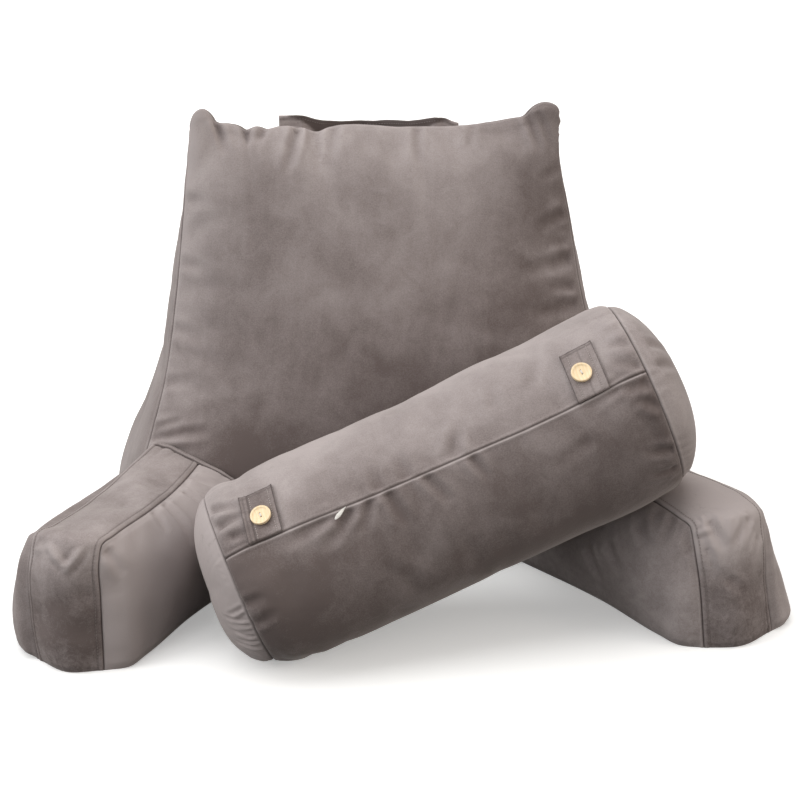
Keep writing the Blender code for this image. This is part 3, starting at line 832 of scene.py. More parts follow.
def seam_profile(away, felled):
    """A pressed-in seam line with a low lip beside it, or with a band stitched down flat."""
    groove = SEAM_DEPTH * bell(away, SEAM_HALF_WIDTH)
    if felled:
        band = FELL_HEIGHT / (1.0 + np.exp((away - FELL_WIDTH) / (0.4 * FELL_LINE)))
        stitched = 0.7 * FELL_HEIGHT * bell(away - FELL_WIDTH, FELL_LINE)
        return band - stitched - groove
    return LIP_HEIGHT * bell(away - LIP_PLACE, LIP_WIDTH) - groove


def fold(places, normals, row):
    """One fold pressed into the cloth: a valley with a rounded ridge on each flank. Cloth that lies
    further than FOLD_LIFT in front of the fold or behind it stays out of it."""
    start, end = np.array(row[0]), np.array(row[1])
    width, depth = row[2:]
    run = end - start
    along = np.clip((places - start) @ run / (run @ run), 0.0, 1.0)
    spoke = places - start - along[..., None] * run
    lift = (spoke * normals).sum(axis=-1)
    away = np.linalg.norm(spoke - lift[..., None] * normals, axis=-1) / width
    away = away + 9.0 * (np.abs(lift) > FOLD_LIFT)
    fade = (1.0 - along) ** 0.6 * np.clip(along * 12.0 + 0.25, 0.0, 1.0)
    ridges = RIDGE_SHARE * bell(away - RIDGE_PLACE, RIDGE_WIDTH)
    return depth * fade * (ridges - bell(away, 1.0))


def relief(cover, rows, folds):
    """Heights for each panel from its seams, gathers and folds."""
    heights = {}
    normals = cover.normals()
    for name in cover.names:
        height = np.zeros(cover.numbers[name].shape)
        for panel_name, side, seed, pitch, tall, reach in rows:
            if panel_name == name:
                run = cover.away[name]["left" if side in ("low", "high") else "low"]
                height += gathers(cover.away[name][side], run, seed, pitch, tall, reach)
        clear = 1.0 - bell(cover.edge_distance(name), FOLD_START)
        for panel_name, *row in folds:
            if panel_name == name:
                height += clear * fold(cover.grid(name), normals[cover.numbers[name]], row)
        cover.wrinkles[name] = height
        if cover.sewn[name]:
            height = height + seam_profile(cover.edge_distance(name), name in FELLED)
        heights[name] = height
    return heights


# ---- Where each cover gathers along its seams, and where it folds.
# Gathers: panel, side, seed, pitch, height, reach.
# Folds: panel, start, end, width, depth. A depth below zero is a ridge.
BACKREST_GATHERS = (
    ("front", "high", 11, 0.026, 0.0020, 0.024),
    ("front", "left", 12, 0.030, 0.0005, 0.022),
    ("front", "right", 13, 0.030, 0.0010, 0.032),
    ("rear", "high", 14, 0.028, 0.0026, 0.030),
    ("rear", "left", 15, 0.032, 0.0018, 0.030),
    ("rear", "right", 16, 0.032, 0.0018, 0.030),
    ("left", "left", 17, 0.030, 0.0005, 0.018),
    ("left", "right", 18, 0.030, 0.0004, 0.016),
    ("right", "left", 19, 0.030, 0.0005, 0.018),
    ("right", "right", 20, 0.030, 0.0005, 0.018),
)
BACKREST_FOLDS = (
    ("front", (-0.090, 0.161, 0.472), (-0.105, 0.122, 0.421), 0.0050, 0.0064),
    ("front", (-0.077, 0.161, 0.471), (-0.080, 0.141, 0.448), 0.0040, 0.0038),
    ("front", (-0.068, 0.162, 0.470), (-0.072, 0.148, 0.452), 0.0040, 0.0040),
    ("front", (-0.049, 0.160, 0.470), (-0.055, 0.122, 0.424), 0.0050, 0.0036),
    ("front", (-0.149, 0.161, 0.473), (-0.144, 0.146, 0.441), 0.0044, 0.0052),
    ("front", (-0.127, 0.161, 0.471), (-0.136, 0.145, 0.442), 0.0042, 0.0046),
    ("front", (0.044, 0.161, 0.469), (0.040, 0.124, 0.426), 0.0048, 0.0032),
    ("front", (0.106, 0.163, 0.470), (0.101, 0.139, 0.440), 0.0044, 0.0034),
    ("front", (-0.182, 0.161, 0.478), (-0.170, 0.142, 0.442), 0.0044, 0.0054),
    ("front", (0.168, 0.160, 0.478), (0.181, 0.134, 0.440), 0.0044, 0.0056),
    ("front", (0.176, 0.160, 0.480), (0.196, 0.137, 0.440), 0.0050, 0.0030),
    ("front", (-0.217, 0.135, 0.394), (-0.190, 0.117, 0.395), 0.0060, 0.0013),
    ("front", (-0.225, 0.113, 0.329), (-0.190, 0.089, 0.324), 0.0060, 0.0014),
    ("front", (-0.236, 0.087, 0.260), (-0.195, 0.058, 0.252), 0.0065, 0.0018),
    ("front", (-0.247, 0.071, 0.200), (-0.210, 0.048, 0.210), 0.0060, 0.0022),
    ("front", (-0.264, 0.052, 0.152), (-0.229, 0.036, 0.167), 0.0045, 0.0050),
    ("front", (-0.267, 0.049, 0.143), (-0.196, 0.026, 0.160), 0.0052, 0.0064),
    ("front", (-0.258, 0.040, 0.137), (-0.215, 0.022, 0.139), 0.0044, 0.0036),
    ("front", (0.206, 0.118, 0.374), (0.172, 0.101, 0.362), 0.0062, 0.0036),
    ("front", (0.212, 0.103, 0.345), (0.186, 0.091, 0.347), 0.0048, 0.0018),
    ("front", (0.214, 0.098, 0.326), (0.160, 0.082, 0.318), 0.0070, 0.0042),
    ("front", (0.218, 0.087, 0.296), (0.186, 0.073, 0.303), 0.0056, 0.0030),
    ("front", (0.221, 0.081, 0.278), (0.165, 0.065, 0.272), 0.0068, 0.0030),
    ("front", (0.202, 0.131, 0.424), (0.176, 0.122, 0.411), 0.0060, 0.0018),
)
ARM_GATHERS = (
    ("inner", "high", 31, 0.036, 0.0014, 0.024),
    ("outer", "high", 32, 0.038, 0.0012, 0.024),
    ("strip", "left", 33, 0.044, 0.0006, 0.016),
    ("strip", "right", 34, 0.044, 0.0006, 0.016),
    ("strip", "high", 37, 0.020, 0.0022, 0.022),
    ("inner", "left", 38, 0.024, 0.0026, 0.028),
    ("outer", "right", 39, 0.026, 0.0026, 0.026),
    ("inner", "right", 35, 0.040, 0.0008, 0.016),
    ("outer", "left", 36, 0.040, 0.0008, 0.016),
)
LEFT_ARM_FOLDS = (
    ("strip", (-0.3445, -0.214, 0.114), (-0.3650, -0.186, 0.137), 0.0036, -0.0026),
    ("strip", (-0.3445, -0.214, 0.114), (-0.3240, -0.205, 0.137), 0.0036, -0.0034),
    ("strip", (-0.3450, -0.212, 0.120), (-0.3430, -0.194, 0.136), 0.0060, 0.0026),
    ("strip", (-0.3720, -0.180, 0.128), (-0.3520, -0.198, 0.134), 0.0040, 0.0026),
    ("strip", (-0.3080, -0.200, 0.136), (-0.3160, -0.206, 0.131), 0.0018, 0.0014),
    ("strip", (-0.3130, -0.208, 0.124), (-0.3200, -0.211, 0.122), 0.0018, 0.0012),
    ("inner", (-0.2250, -0.026, 0.123), (-0.1940, -0.027, 0.108), 0.0044, 0.0042),
    ("inner", (-0.2290, -0.064, 0.127), (-0.2060, -0.072, 0.110), 0.0044, 0.0038),
    ("inner", (-0.2510, -0.104, 0.133), (-0.2190, -0.130, 0.095), 0.0055, 0.0042),
    ("inner", (-0.3080, -0.203, 0.128), (-0.2920, -0.200, 0.100), 0.0044, 0.0036),
    ("inner", (-0.2620, -0.126, 0.135), (-0.2460, -0.142, 0.116), 0.0046, 0.0030),
)
RIGHT_ARM_FOLDS = (
    ("inner", (0.302, -0.199, 0.130), (0.293, -0.209, 0.098), 0.0046, 0.0042),
    ("inner", (0.286, -0.178, 0.131), (0.274, -0.192, 0.104), 0.0050, 0.0030),
    ("strip", (0.316, -0.200, 0.137), (0.330, -0.217, 0.108), 0.0046, 0.0040),
    ("strip", (0.358, -0.192, 0.134), (0.340, -0.216, 0.112), 0.0046, 0.0038),
    ("strip", (0.337, -0.200, 0.138), (0.336, -0.216, 0.118), 0.0044, -0.0022),
    ("strip", (0.305, -0.196, 0.136), (0.309, -0.204, 0.131), 0.0018, 0.0014),
    ("strip", (0.3030, -0.207, 0.124), (0.3200, -0.209, 0.130), 0.0030, -0.0024),
    ("strip", (0.3120, -0.212, 0.112), (0.3220, -0.216, 0.085), 0.0040, 0.0024),
    ("strip", (0.3540, -0.188, 0.134), (0.3480, -0.213, 0.114), 0.0030, -0.0026),
    ("strip", (0.3700, -0.192, 0.112), (0.3600, -0.208, 0.090), 0.0044, 0.0026),
    ("strip", (0.3330, -0.222, 0.080), (0.3520, -0.216, 0.060), 0.0050, 0.0016),
    ("inner", (0.253, -0.154, 0.117), (0.264, -0.184, 0.092), 0.0060, 0.0036),
    ("inner", (0.225, -0.135, 0.086), (0.237, -0.160, 0.060), 0.0060, 0.0036),
    ("inner", (0.208, -0.113, 0.070), (0.218, -0.132, 0.035), 0.0060, 0.0036),
)
ROLL_GATHERS = (
    ("side", "left", 51, 0.0105, 0.0015, 0.020),
    ("side", "left", 57, 0.026, 0.0006, 0.036),
    ("side", "right", 52, 0.012, 0.0017, 0.024),
    ("side", "right", 58, 0.028, 0.0008, 0.040),
    ("side", "low", 53, 0.036, 0.0009, 0.020),
    ("side", "high", 54, 0.024, 0.0015, 0.030),
    ("left_cap", "low", 55, 0.0095, 0.0009, 0.024),
    ("right_cap", "low", 56, 0.012, 0.0016, 0.026),
)
ROLL_FOLDS = (
    ("side", (-0.199, -0.202, 0.165), (-0.164, -0.221, 0.179), 0.0044, 0.0050),
    ("side", (-0.191, -0.226, 0.157), (-0.160, -0.228, 0.178), 0.0048, 0.0058),
    ("side", (-0.179, -0.242, 0.155), (-0.158, -0.246, 0.164), 0.0040, 0.0038),
    ("side", (-0.171, -0.264, 0.093), (-0.145, -0.275, 0.106), 0.0046, 0.0032),
    ("side", (-0.159, -0.267, 0.072), (-0.134, -0.278, 0.091), 0.0046, 0.0032),
    ("side", (0.040, -0.227, 0.229), (0.056, -0.196, 0.262), 0.0064, 0.0034),
    ("side", (0.052, -0.229, 0.228), (0.046, -0.206, 0.252), 0.0056, 0.0030),
    ("side", (0.000, -0.237, 0.210), (-0.012, -0.214, 0.234), 0.0064, 0.0028),
    ("side", (-0.029, -0.242, 0.200), (-0.038, -0.220, 0.222), 0.0056, 0.0028),
    ("side", (0.088, -0.193, 0.272), (0.088, -0.163, 0.287), 0.0060, 0.0018),
    ("side", (0.125, -0.183, 0.288), (0.140, -0.145, 0.310), 0.0060, 0.0018),
    ("side", (0.015, -0.234, 0.216), (0.042, -0.250, 0.190), 0.0052, 0.0040),
    ("side", (0.063, -0.228, 0.231), (0.082, -0.242, 0.210), 0.0048, 0.0032),
    ("side", (-0.022, -0.241, 0.201), (-0.002, -0.258, 0.170), 0.0056, 0.0040),
    ("side", (-0.039, -0.244, 0.195), (-0.046, -0.262, 0.166), 0.0050, 0.0034),
    ("side", (-0.057, -0.248, 0.187), (-0.086, -0.268, 0.150), 0.0060, 0.0040),
    ("side", (-0.074, -0.249, 0.183), (-0.130, -0.264, 0.154), 0.0064, 0.0036),
    ("side", (0.187, -0.226, 0.242), (0.146, -0.234, 0.214), 0.0066, 0.0012),
    ("side", (0.238, -0.142, 0.328), (0.204, -0.151, 0.327), 0.0044, 0.0030),
    ("side", (0.242, -0.168, 0.318), (0.207, -0.166, 0.321), 0.0048, 0.0040),
    ("side", (0.244, -0.187, 0.303), (0.211, -0.184, 0.309), 0.0048, 0.0036),
    ("side", (0.248, -0.196, 0.289), (0.216, -0.205, 0.285), 0.0050, 0.0032),
    ("side", (0.257, -0.206, 0.267), (0.232, -0.209, 0.278), 0.0044, 0.0034),
    ("side", (0.272, -0.207, 0.223), (0.242, -0.217, 0.222), 0.0050, 0.0038),
    ("side", (0.276, -0.198, 0.200), (0.250, -0.208, 0.196), 0.0046, 0.0034),
    ("side", (0.217, -0.200, 0.291), (0.180, -0.212, 0.270), 0.0056, 0.0030),
    ("right_cap", (0.247, -0.164, 0.315), (0.289, -0.136, 0.306), 0.0050, 0.0028),
    ("right_cap", (0.255, -0.182, 0.300), (0.292, -0.158, 0.298), 0.0050, 0.0030),
)


PLEAT_ANGLES = (80.0, 146.0)
PLEAT_COUNT = 15
PLEAT_WIDTH = 0.0021
PLEAT_DEPTH = 0.0022


def cap_pleats():
    """Short pleats round the front of the left cap, from its seam inwards."""
    rng = np.random.default_rng(61)
    pleats = []
    jitter = rng.uniform(-1.2, 1.2, PLEAT_COUNT)
    for angle in np.radians(np.linspace(*PLEAT_ANGLES, PLEAT_COUNT) + jitter):
        outward = roll_spoke(angle)
        ring = ROLL_LEFT + outward * ROLL_END_RADIUS
        start = ring + ROLL_AXIS * LEFT_CAP_SHIFT * math.cos(angle - CAP_SHIFT_ANGLE)
        length = rng.uniform(0.022, 0.040)
        across = np.cross(ROLL_AXIS, outward) * rng.uniform(-0.34, -0.04)
        end = start - (outward + ROLL_AXIS * 0.5 + across) * length
        depth = PLEAT_DEPTH * rng.uniform(0.6, 1.2)
        pleats.append(("left_cap", tuple(start), tuple(end), PLEAT_WIDTH, depth))
    return tuple(pleats)


def mirrored(rows):
    """The same table rows for a panel laid out the other way round."""
    other = {"left": "right", "right": "left"}
    turned = []
    for row in rows:
        words = [" ".join(other.get(word, word) for word in str(item).split()) for item in row]
        turned.append([word if isinstance(item, str) else item for word, item in zip(words, row)])
    return turned


# ---- Materials, each named for what the real one is made of.
def linear(code):
    """An sRGB hex colour as the linear colour that a shader takes."""
    parts = [int(code[k:k + 2], 16) / 255.0 for k in (1, 3, 5)]
    return [c / 12.92 if c <= 0.04045 else ((c + 0.055) / 1.055) ** 2.4 for c in parts] + [1.0]


def feed(tree, made, inputs):
    """Set a node's inputs to values, or link them to sockets."""
    for name, value in inputs.items():
        if isinstance(value, bpy.types.NodeSocket):
            tree.links.new(value, made.inputs[name])
        else:
            made.inputs[name].default_value = value


def node(tree, kind, inputs=None, **settings):
    """Add a node with its settings and inputs."""
    made = tree.nodes.new("ShaderNode" + kind)
    for name, value in settings.items():
        setattr(made, name, value)
    feed(tree, made, inputs or {})
    return made


def new_material(name):
    """A new material, its nodes and its shader."""
    made = bpy.data.materials.new(name)
    made.use_nodes = True
    return made, made.node_tree, made.node_tree.nodes["Principled BSDF"]


def polyester_velvet():
    """Short-pile polyester velvet, cut and sewn. The pile lies paler or darker where a hand has
    stroked it, is pressed dark in small marks, and blooms at grazing angles. Along the seams it is
    darkened by pressed pile and painted shade, and a per-point value adds painted light and shade:
    paler tops, darker undersides, creases and hollows."""
    made, tree, shader = new_material("Polyester_Velvet")
    place = node(tree, "TexCoord").outputs["Object"]
    cloth = node(tree, "UVMap", uv_map="cloth").outputs["UV"]
    seam = node(tree, "Attribute", attribute_name="seam").outputs["Fac"]
    pile_and_painted_light = node(tree, "Attribute", attribute_name="pile_and_painted_light").outputs["Fac"]
    crushed = node(tree, "Attribute", attribute_name="crushed").outputs["Fac"]
    # Stroked patches about a palm across, and smaller ones where the pile is ruffled.
    stroked = node(tree, "TexNoise", {
        "Vector": place, "Scale": 1.0 / 0.090, "Detail": 2.0, "Roughness": 0.5, "Distortion": 0.6,
    }).outputs["Fac"]
    ruffled = node(tree, "TexNoise", {
        "Vector": place, "Scale": 1.0 / 0.020, "Detail": 4.0, "Roughness": 0.60, "Distortion": 0.7,
    }).outputs["Fac"]
    # Faint brush lines along the pile, 12 mm apart and 70 mm long.
    along = node(tree, "Mapping", {"Vector": cloth, "Scale": (1.0 / 0.012, 1.0 / 0.070, 1.0)})
    brushed = node(tree, "TexNoise", {
        "Vector": along.outputs["Vector"], "Scale": 1.0, "Detail": 3.0, "Distortion": 0.6,
    }).outputs["Fac"]
    # The pile itself is finer than a picture shows, so it is drawn 1.3 mm across.
    pile = node(tree, "TexNoise", {
        "Vector": place, "Scale": 1.0 / 0.0013, "Detail": 2.0, "Roughness": 0.7,
    }).outputs["Fac"]
    # Pressed marks up to 8 mm, in loose clusters.
    specks = node(tree, "TexNoise", {
        "Vector": place, "Scale": 1.0 / 0.0085, "Detail": 4.0, "Roughness": 0.68, "Distortion": 0.8,
    }).outputs["Fac"]
    cluster = node(tree, "TexNoise", {
        "Vector": place, "Scale": 1.0 / 0.110, "Detail": 1.0,
    }).outputs["Fac"]
    speck_mask = node(tree, "MapRange", {0: specks, 1: 0.58, 2: 0.74, 3: 0.0, 4: 1.0}).outputs[0]
    strength = node(tree, "MapRange", {0: cluster, 1: 0.47, 2: 0.62, 3: 0.0, 4: 0.34}).outputs[0]
    marks = node(tree, "Math", {0: speck_mask, 1: strength}, operation="MULTIPLY").outputs[0]

    tone = node(tree, "MapRange", {0: stroked, 1: 0.30, 2: 0.70, 3: 0.28, 4: 0.72}).outputs[0]
    for fac, reach in ((ruffled, 0.085), (brushed, 0.04), (pile, 0.15)):
        part = node(tree, "MapRange", {0: fac, 1: 0.28, 2: 0.72, 3: -reach, 4: reach}).outputs[0]
        tone = node(tree, "Math", {0: tone, 1: part}, operation="ADD").outputs[0]
    # Where hands have crushed the pile it breaks into pale and dark flakes, 3 to 12 mm across.
    flakes = node(tree, "TexNoise", {
        "Vector": place, "Scale": 1.0 / 0.012, "Detail": 5.0, "Roughness": 0.66, "Distortion": 1.6,
    }).outputs["Fac"]
    flake_tone = node(tree, "MapRange", {0: flakes, 1: 0.34, 2: 0.66, 3: -0.20, 4: 0.20}).outputs[0]
    crush_tone = node(tree, "Math", {0: flake_tone, 1: crushed}, operation="MULTIPLY").outputs[0]
    tone = node(tree, "Math", {0: tone, 1: crush_tone}, operation="ADD").outputs[0]
    # The per-point pile tone comes in here, and with it the painted light and shade of each cover.
    tone = node(tree, "Math", {0: tone, 1: pile_and_painted_light}, operation="ADD", use_clamp=True).outputs[0]
    colour = node(tree, "Mix", {
        0: tone, 6: linear(VELVET_DARK), 7: linear(VELVET_PALE),
    }, data_type="RGBA").outputs[2]
    colour = node(tree, "Mix", {
        0: marks, 6: colour, 7: linear(VELVET_DARK),
    }, data_type="RGBA").outputs[2]
    # Pressed colour along the seams is crushed pile plus painted shade in the groove; the strap's
    # shaded face, the tab edges and the welt groove are painted dark through it too.
    pressed = node(tree, "MapRange", {0: seam, 1: 0.05, 2: 0.9, 3: 0.0, 4: 0.8}).outputs[0]
    colour = node(tree, "Mix", {
        0: pressed, 6: colour, 7: linear(VELVET_PRESSED_AND_SHADED),
    }, data_type="RGBA").outputs[2]
    height = node(tree, "Math", {0: pile, 1: 0.30, 2: ruffled}, operation="MULTIPLY_ADD").outputs[0]
    bump = node(tree, "Bump", {"Height": height, "Strength": 0.35, "Distance": 0.0016})
    feed(tree, shader, {
        "Base Color": colour,
        "Roughness": node(tree, "MapRange", {0: tone, 1: 0.0, 2: 1.0, 3: 0.92, 4: 0.78}).outputs[0],
        "Normal": bump.outputs["Normal"],
        "Specular IOR Level": 0.2,
        "Sheen Weight": 0.45,
        "Sheen Roughness": 0.40,
        "Sheen Tint": linear("#EFE7E3"),
    })
    return made


def polyester_thread(name, code):
    """Spun sewing thread: matt, with the twist of its plies every half millimetre."""
    made, tree, shader = new_material(name)
    place = node(tree, "TexCoord").outputs["Object"]
    twist = node(tree, "TexNoise", {
        "Vector": place, "Scale": 1.0 / 0.0005, "Detail": 1.0,
    }).outputs["Fac"]
    shade = node(tree, "MapRange", {0: twist, 1: 0.3, 2: 0.7, 3: 0.82, 4: 1.0}).outputs[0]
    colour = node(tree, "Mix", {0: shade, 6: linear("#3E3836"), 7: linear(code)}, data_type="RGBA")
    bump = node(tree, "Bump", {"Height": twist, "Strength": 0.4, "Distance": 0.0002})
    feed(tree, shader, {
        "Base Color": colour.outputs[2], "Roughness": 0.75, "Normal": bump.outputs["Normal"],
    })
    return made


def turned_birch():
    """Turned birch, bare and satin: pale yellow wood, fine growth lines and short dark pores."""
    made, tree, shader = new_material("Turned_Birch")
    place = node(tree, "TexCoord").outputs["Object"]
    grain = node(tree, "Mapping", {
        "Vector": place, "Rotation": (0.3, 0.2, 0.9), "Scale": (1.0, 0.16, 1.0),
    })
    rings = node(tree, "TexWave", {
        "Vector": grain.outputs["Vector"], "Scale": 1.0 / 0.0075, "Distortion": 5.0,
        "Detail": 3.0, "Detail Scale": 1.4,
    }, bands_direction="X").outputs["Fac"]
    pores = node(tree, "TexNoise", {
        "Vector": grain.outputs["Vector"], "Scale": 1.0 / 0.0006, "Detail": 2.0,
    }).outputs["Fac"]
    pore_mask = node(tree, "MapRange", {0: pores, 1: 0.58, 2: 0.74, 3: 0.0, 4: 0.22}).outputs[0]
    colour = node(tree, "Mix", {
        0: rings, 6: linear("#F9E3BE"), 7: linear("#F4D8AC"),
    }, data_type="RGBA").outputs[2]
    colour = node(tree, "Mix", {0: pore_mask, 6: colour, 7: linear("#A87C4A")}, data_type="RGBA")
    rough = node(tree, "MapRange", {0: pores, 1: 0.3, 2: 0.7, 3: 0.42, 4: 0.60}).outputs[0]
    bump = node(tree, "Bump", {"Height": pores, "Strength": 0.15, "Distance": 0.0002})
    feed(tree, shader, {
        "Base Color": colour.outputs[2], "Roughness": rough, "Normal": bump.outputs["Normal"],
    })
    return made


def enamelled_zinc():
    """Die-cast zinc under white enamel: smooth and glossy, with a faint pull in the coat."""
    made, tree, shader = new_material("Enamelled_Zinc")
    place = node(tree, "TexCoord").outputs["Object"]
    coat = node(tree, "TexNoise", {
        "Vector": place, "Scale": 1.0 / 0.003, "Detail": 2.0,
    }).outputs["Fac"]
    colour = node(tree, "Mix", {
        0: coat, 6: linear("#E4E0D8"), 7: linear("#F4F2EC"),
    }, data_type="RGBA")
    rough = node(tree, "MapRange", {0: coat, 1: 0.3, 2: 0.7, 3: 0.22, 4: 0.36}).outputs[0]
    feed(tree, shader, {"Base Color": colour.outputs[2], "Roughness": rough})
    return made


VELVET_DARK = "#6F6461"
VELVET_PALE = "#B1A7A5"
VELVET_PRESSED_AND_SHADED = "#4C4442"
VELVET = polyester_velvet()
TAUPE_THREAD = polyester_thread("Taupe_Polyester_Thread", "#8A807C")
PALE_THREAD = polyester_thread("Pale_Polyester_Thread", "#C2B9B4")
WHITE_THREAD = polyester_thread("White_Polyester_Thread", "#EFEAE2")
BIRCH = turned_birch()
ZINC = enamelled_zinc()


# ---- The padded covers.
def build_cover(name, layout, runs, cells, grids_at, gather_rows, folds):
    full = grids_at(1.0)
    most = [row[4] for row in layout]
    filled = fill_cover(name, full, grids_at(START_CROWN), held_parts(layout, full), most)
    cover = Cover(layout, runs, filled, cells)
    cover.raise_by(relief(cover, gather_rows, folds))
    return cover


def tree_of(cover):
    """Ray casting tree of a cover, in seat coordinates."""
    faces = [quad for name in cover.names for quad in quads_of(cover.numbers[name])]
    return BVHTree.FromPolygons(cover.places.tolist(), faces)


def ride_root(thing, slot, *nodes):
    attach(thing, "root")
    if nodes:
        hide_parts(*nodes)


def cushion(node_name, cover, lean):
    thing = cover.make(node_name + "_cushion", VELVET, lean, crush)
    ride_root(thing, "velvet", node_name)


def press_under_roll(cover):
    """Dent a cover where the neck roll lies in it."""
    away = cover.places - ROLL_LEFT
    along = away @ ROLL_AXIS
    spoke = away - along[:, None] * ROLL_AXIS
    distance = np.linalg.norm(spoke, axis=1)
    inside = (along > 0.0) & (along < ROLL_LENGTH)
    room = roll_radius(np.clip(along / ROLL_LENGTH, 0.0, 1.0)) + ROLL_ROOM - distance
    push = np.where(inside, np.maximum(room, 0.0), 0.0)
    cover.places = cover.places + spoke / np.maximum(distance, 1e-9)[:, None] * push[:, None]
    cover.places[:, 2] = np.maximum(cover.places[:, 2], 0.0)


def crush(name, grid):
    """How crushed the pile is: most on the fronts of the arms and low down, where it is handled."""
    low = np.exp(-np.maximum(grid[..., 2], 0.0) / 0.11)
    return {"strip": 1.0, "inner": 0.7, "outer": 0.45}.get(name, 0.25) * (0.12 + 0.88 * low)


def backrest_lean(name, grid):
    """Painted light and shade on the pile, from -1 dark to 1 pale. The front is painted paler
    towards the top and the left edge, where the light falls, and darker to the right, with painted
    shade in a patch high on the right, in the hollow above the left arm and in a band beside the
    neck roll. The side panels are painted a little paler on the left and darker on the right.
    """
    if name != "front":
        return np.full(grid.shape[:2], {"left": 0.05, "right": -0.05}.get(name, 0.0))
    x, z = grid[..., 0], grid[..., 2]
    rise = np.clip(z / 0.47, 0.0, 1.0)
    left_edge_light = 0.42 * bell(x + 0.25, 0.055)
    right_painted_patch = 0.16 * bell(x - 0.17, 0.05) * bell(z - 0.38, 0.08)
    hollow_shade = 0.34 * bell(x + 0.165, 0.055) * bell(z - 0.130, 0.035)
    out = np.linalg.norm(np.cross(grid - ROLL_LEFT, ROLL_AXIS), axis=-1)
    # Painted shadow of the neck roll on the backrest beside it.
    roll_shadow = 0.52 * bell(np.maximum(out - ROLL_MIDDLE_RADIUS, 0.0), 0.070)
    return -0.42 + 0.50 * rise - 0.28 * x + left_edge_light - right_painted_patch - hollow_shade - roll_shadow


def arm_lean(name, grid):
    """Painted light and the lie of the pile. The boxing strip is painted paler on top than down its
    front, as light falls from above. The left arm's inner side is painted the palest and the right
    one has a painted pale patch low down, lifting the shade beside the roll. Each outer panel lies
    its own way."""
    left = grid[..., 0] < 0.0
    if name == "strip":
        # Painted light: the top of the strip paler than its front.
        on_top = np.clip((grid[..., 2] - 0.072) / 0.044, 0.0, 1.0)
        return np.where(left, -0.42, -0.26) + np.where(left, 0.55, 0.96) * on_top
    if name == "outer":
        return np.where(left, -0.12, 0.32)
    x, z = grid[..., 0], grid[..., 2]
    # Painted pale patch low on the right arm's inner side, lifting the shade there.
    right_painted_patch = 0.26 * bell(x - 0.283, 0.026) * bell(z - 0.045, 0.045)
    return np.where(left, 0.88, 0.06 + right_painted_patch)


ROLL_PAINTED_LIGHT = (
    # share of the way round, up from the zip and over the top, and the painted light and shade
    # there
    (0.000, -0.20),
    (0.035, -0.06),
    (0.060, 0.16),
    (0.120, 0.30),
    (0.280, 0.62),
    (0.500, 0.00),
    (0.800, -0.46),
    (0.880, -0.28),
    (0.940, -0.34),
    (1.000, -0.10),
)


def roll_lean(name, grid):
    """Painted light and shade on the roll: paler over the top where light falls from above and
    darker under the zip where it is in shade, with a painted highlight on the zip's lip and painted
    shade under the zip towards both ends.
    The end caps are painted paler, the left one most, as if lit from the left.
    """
    if name != "side":
        return np.full(grid.shape[:2], 0.84 if name == "left_cap" else 0.20)
    around = np.linalg.norm(np.diff(grid, axis=0), axis=2).mean(axis=1)
    run = np.concatenate([[0.0], np.cumsum(around)])
    lit_round = np.interp(run / run[-1], *zip(*ROLL_PAINTED_LIGHT))
    # Painted highlight on the zip's lip.
    lit_round += ZIP_LIP_HIGHLIGHT * bell(run[-1] - run - LIP_PLACE, ZIP_LIP_WIDTH)
    share = even(grid.shape[1] - 1)[None, :]
    # Painted shade under the zip towards both ends, most at the right end.
    ends = -0.16 * bell(share, 0.22) - 0.34 * bell(1.0 - share, 0.09)
    under_zip = np.clip((run / run[-1] - 0.80) / 0.1, 0.0, 1.0)
    return lit_round[:, None] + ends * under_zip[:, None]


backrest = build_cover(
    "backrest", BACKREST_LAYOUT, BACKREST_RUNS, BACKREST_CELLS,
    backrest_grids, BACKREST_GATHERS, BACKREST_FOLDS,
)
cushion("backrest", backrest, backrest_lean)
backrest_tree = tree_of(backrest)

roll = build_cover(
    "neck_roll", ROLL_LAYOUT, ROLL_RUNS, ROLL_CELLS,
    roll_grids, ROLL_GATHERS, ROLL_FOLDS + cap_pleats(),
)
cushion("neck_roll", roll, roll_lean)
roll_tree = tree_of(roll)


def build_arm(name, side, folds):
    layout, gather_rows = ARM_LAYOUT, ARM_GATHERS
    if side == LEFT:
        layout, gather_rows = mirrored(layout), mirrored(gather_rows)

    def grids_at(fullness):
        return arm_grids(side, backrest_tree, fullness)

    arm = build_cover(name, layout, ARM_RUNS, ARM_CELLS, grids_at, gather_rows, folds)
    press_under_roll(arm)
    cushion(name, arm, arm_lean)
    return arm


left_arm = build_arm("arm_left", LEFT, LEFT_ARM_FOLDS)
right_arm = build_arm("arm_right", RIGHT, RIGHT_ARM_FOLDS)


# ---- Sewn trim: stitches, welts, the carry strap and the tabs.
STITCH_SIDES = 6
STITCH_RINGS = (
    # share of the half length, share of the radius, how far it sinks
    (-1.00, 0.35, 0.9),
    (-0.60, 0.95, 0.1),
    (0.60, 0.95, 0.1),
    (1.00, 0.35, 0.9),
)


def spread_along(points, others, pitch):
    """Places every pitch along a line, with its direction and the other values there."""
    steps = np.linalg.norm(np.diff(points, axis=0), axis=1)
    run = np.concatenate([[0.0], np.cumsum(steps)])
    spots = np.arange(0.5 * pitch, run[-1], pitch)

    def read(values, at):
        return np.stack([np.interp(at, run, values[:, k]) for k in range(3)], axis=1)

    ahead = unit(read(points, spots + 0.3 * pitch) - read(points, spots - 0.3 * pitch))
    return read(points, spots), ahead, unit(read(others, spots))


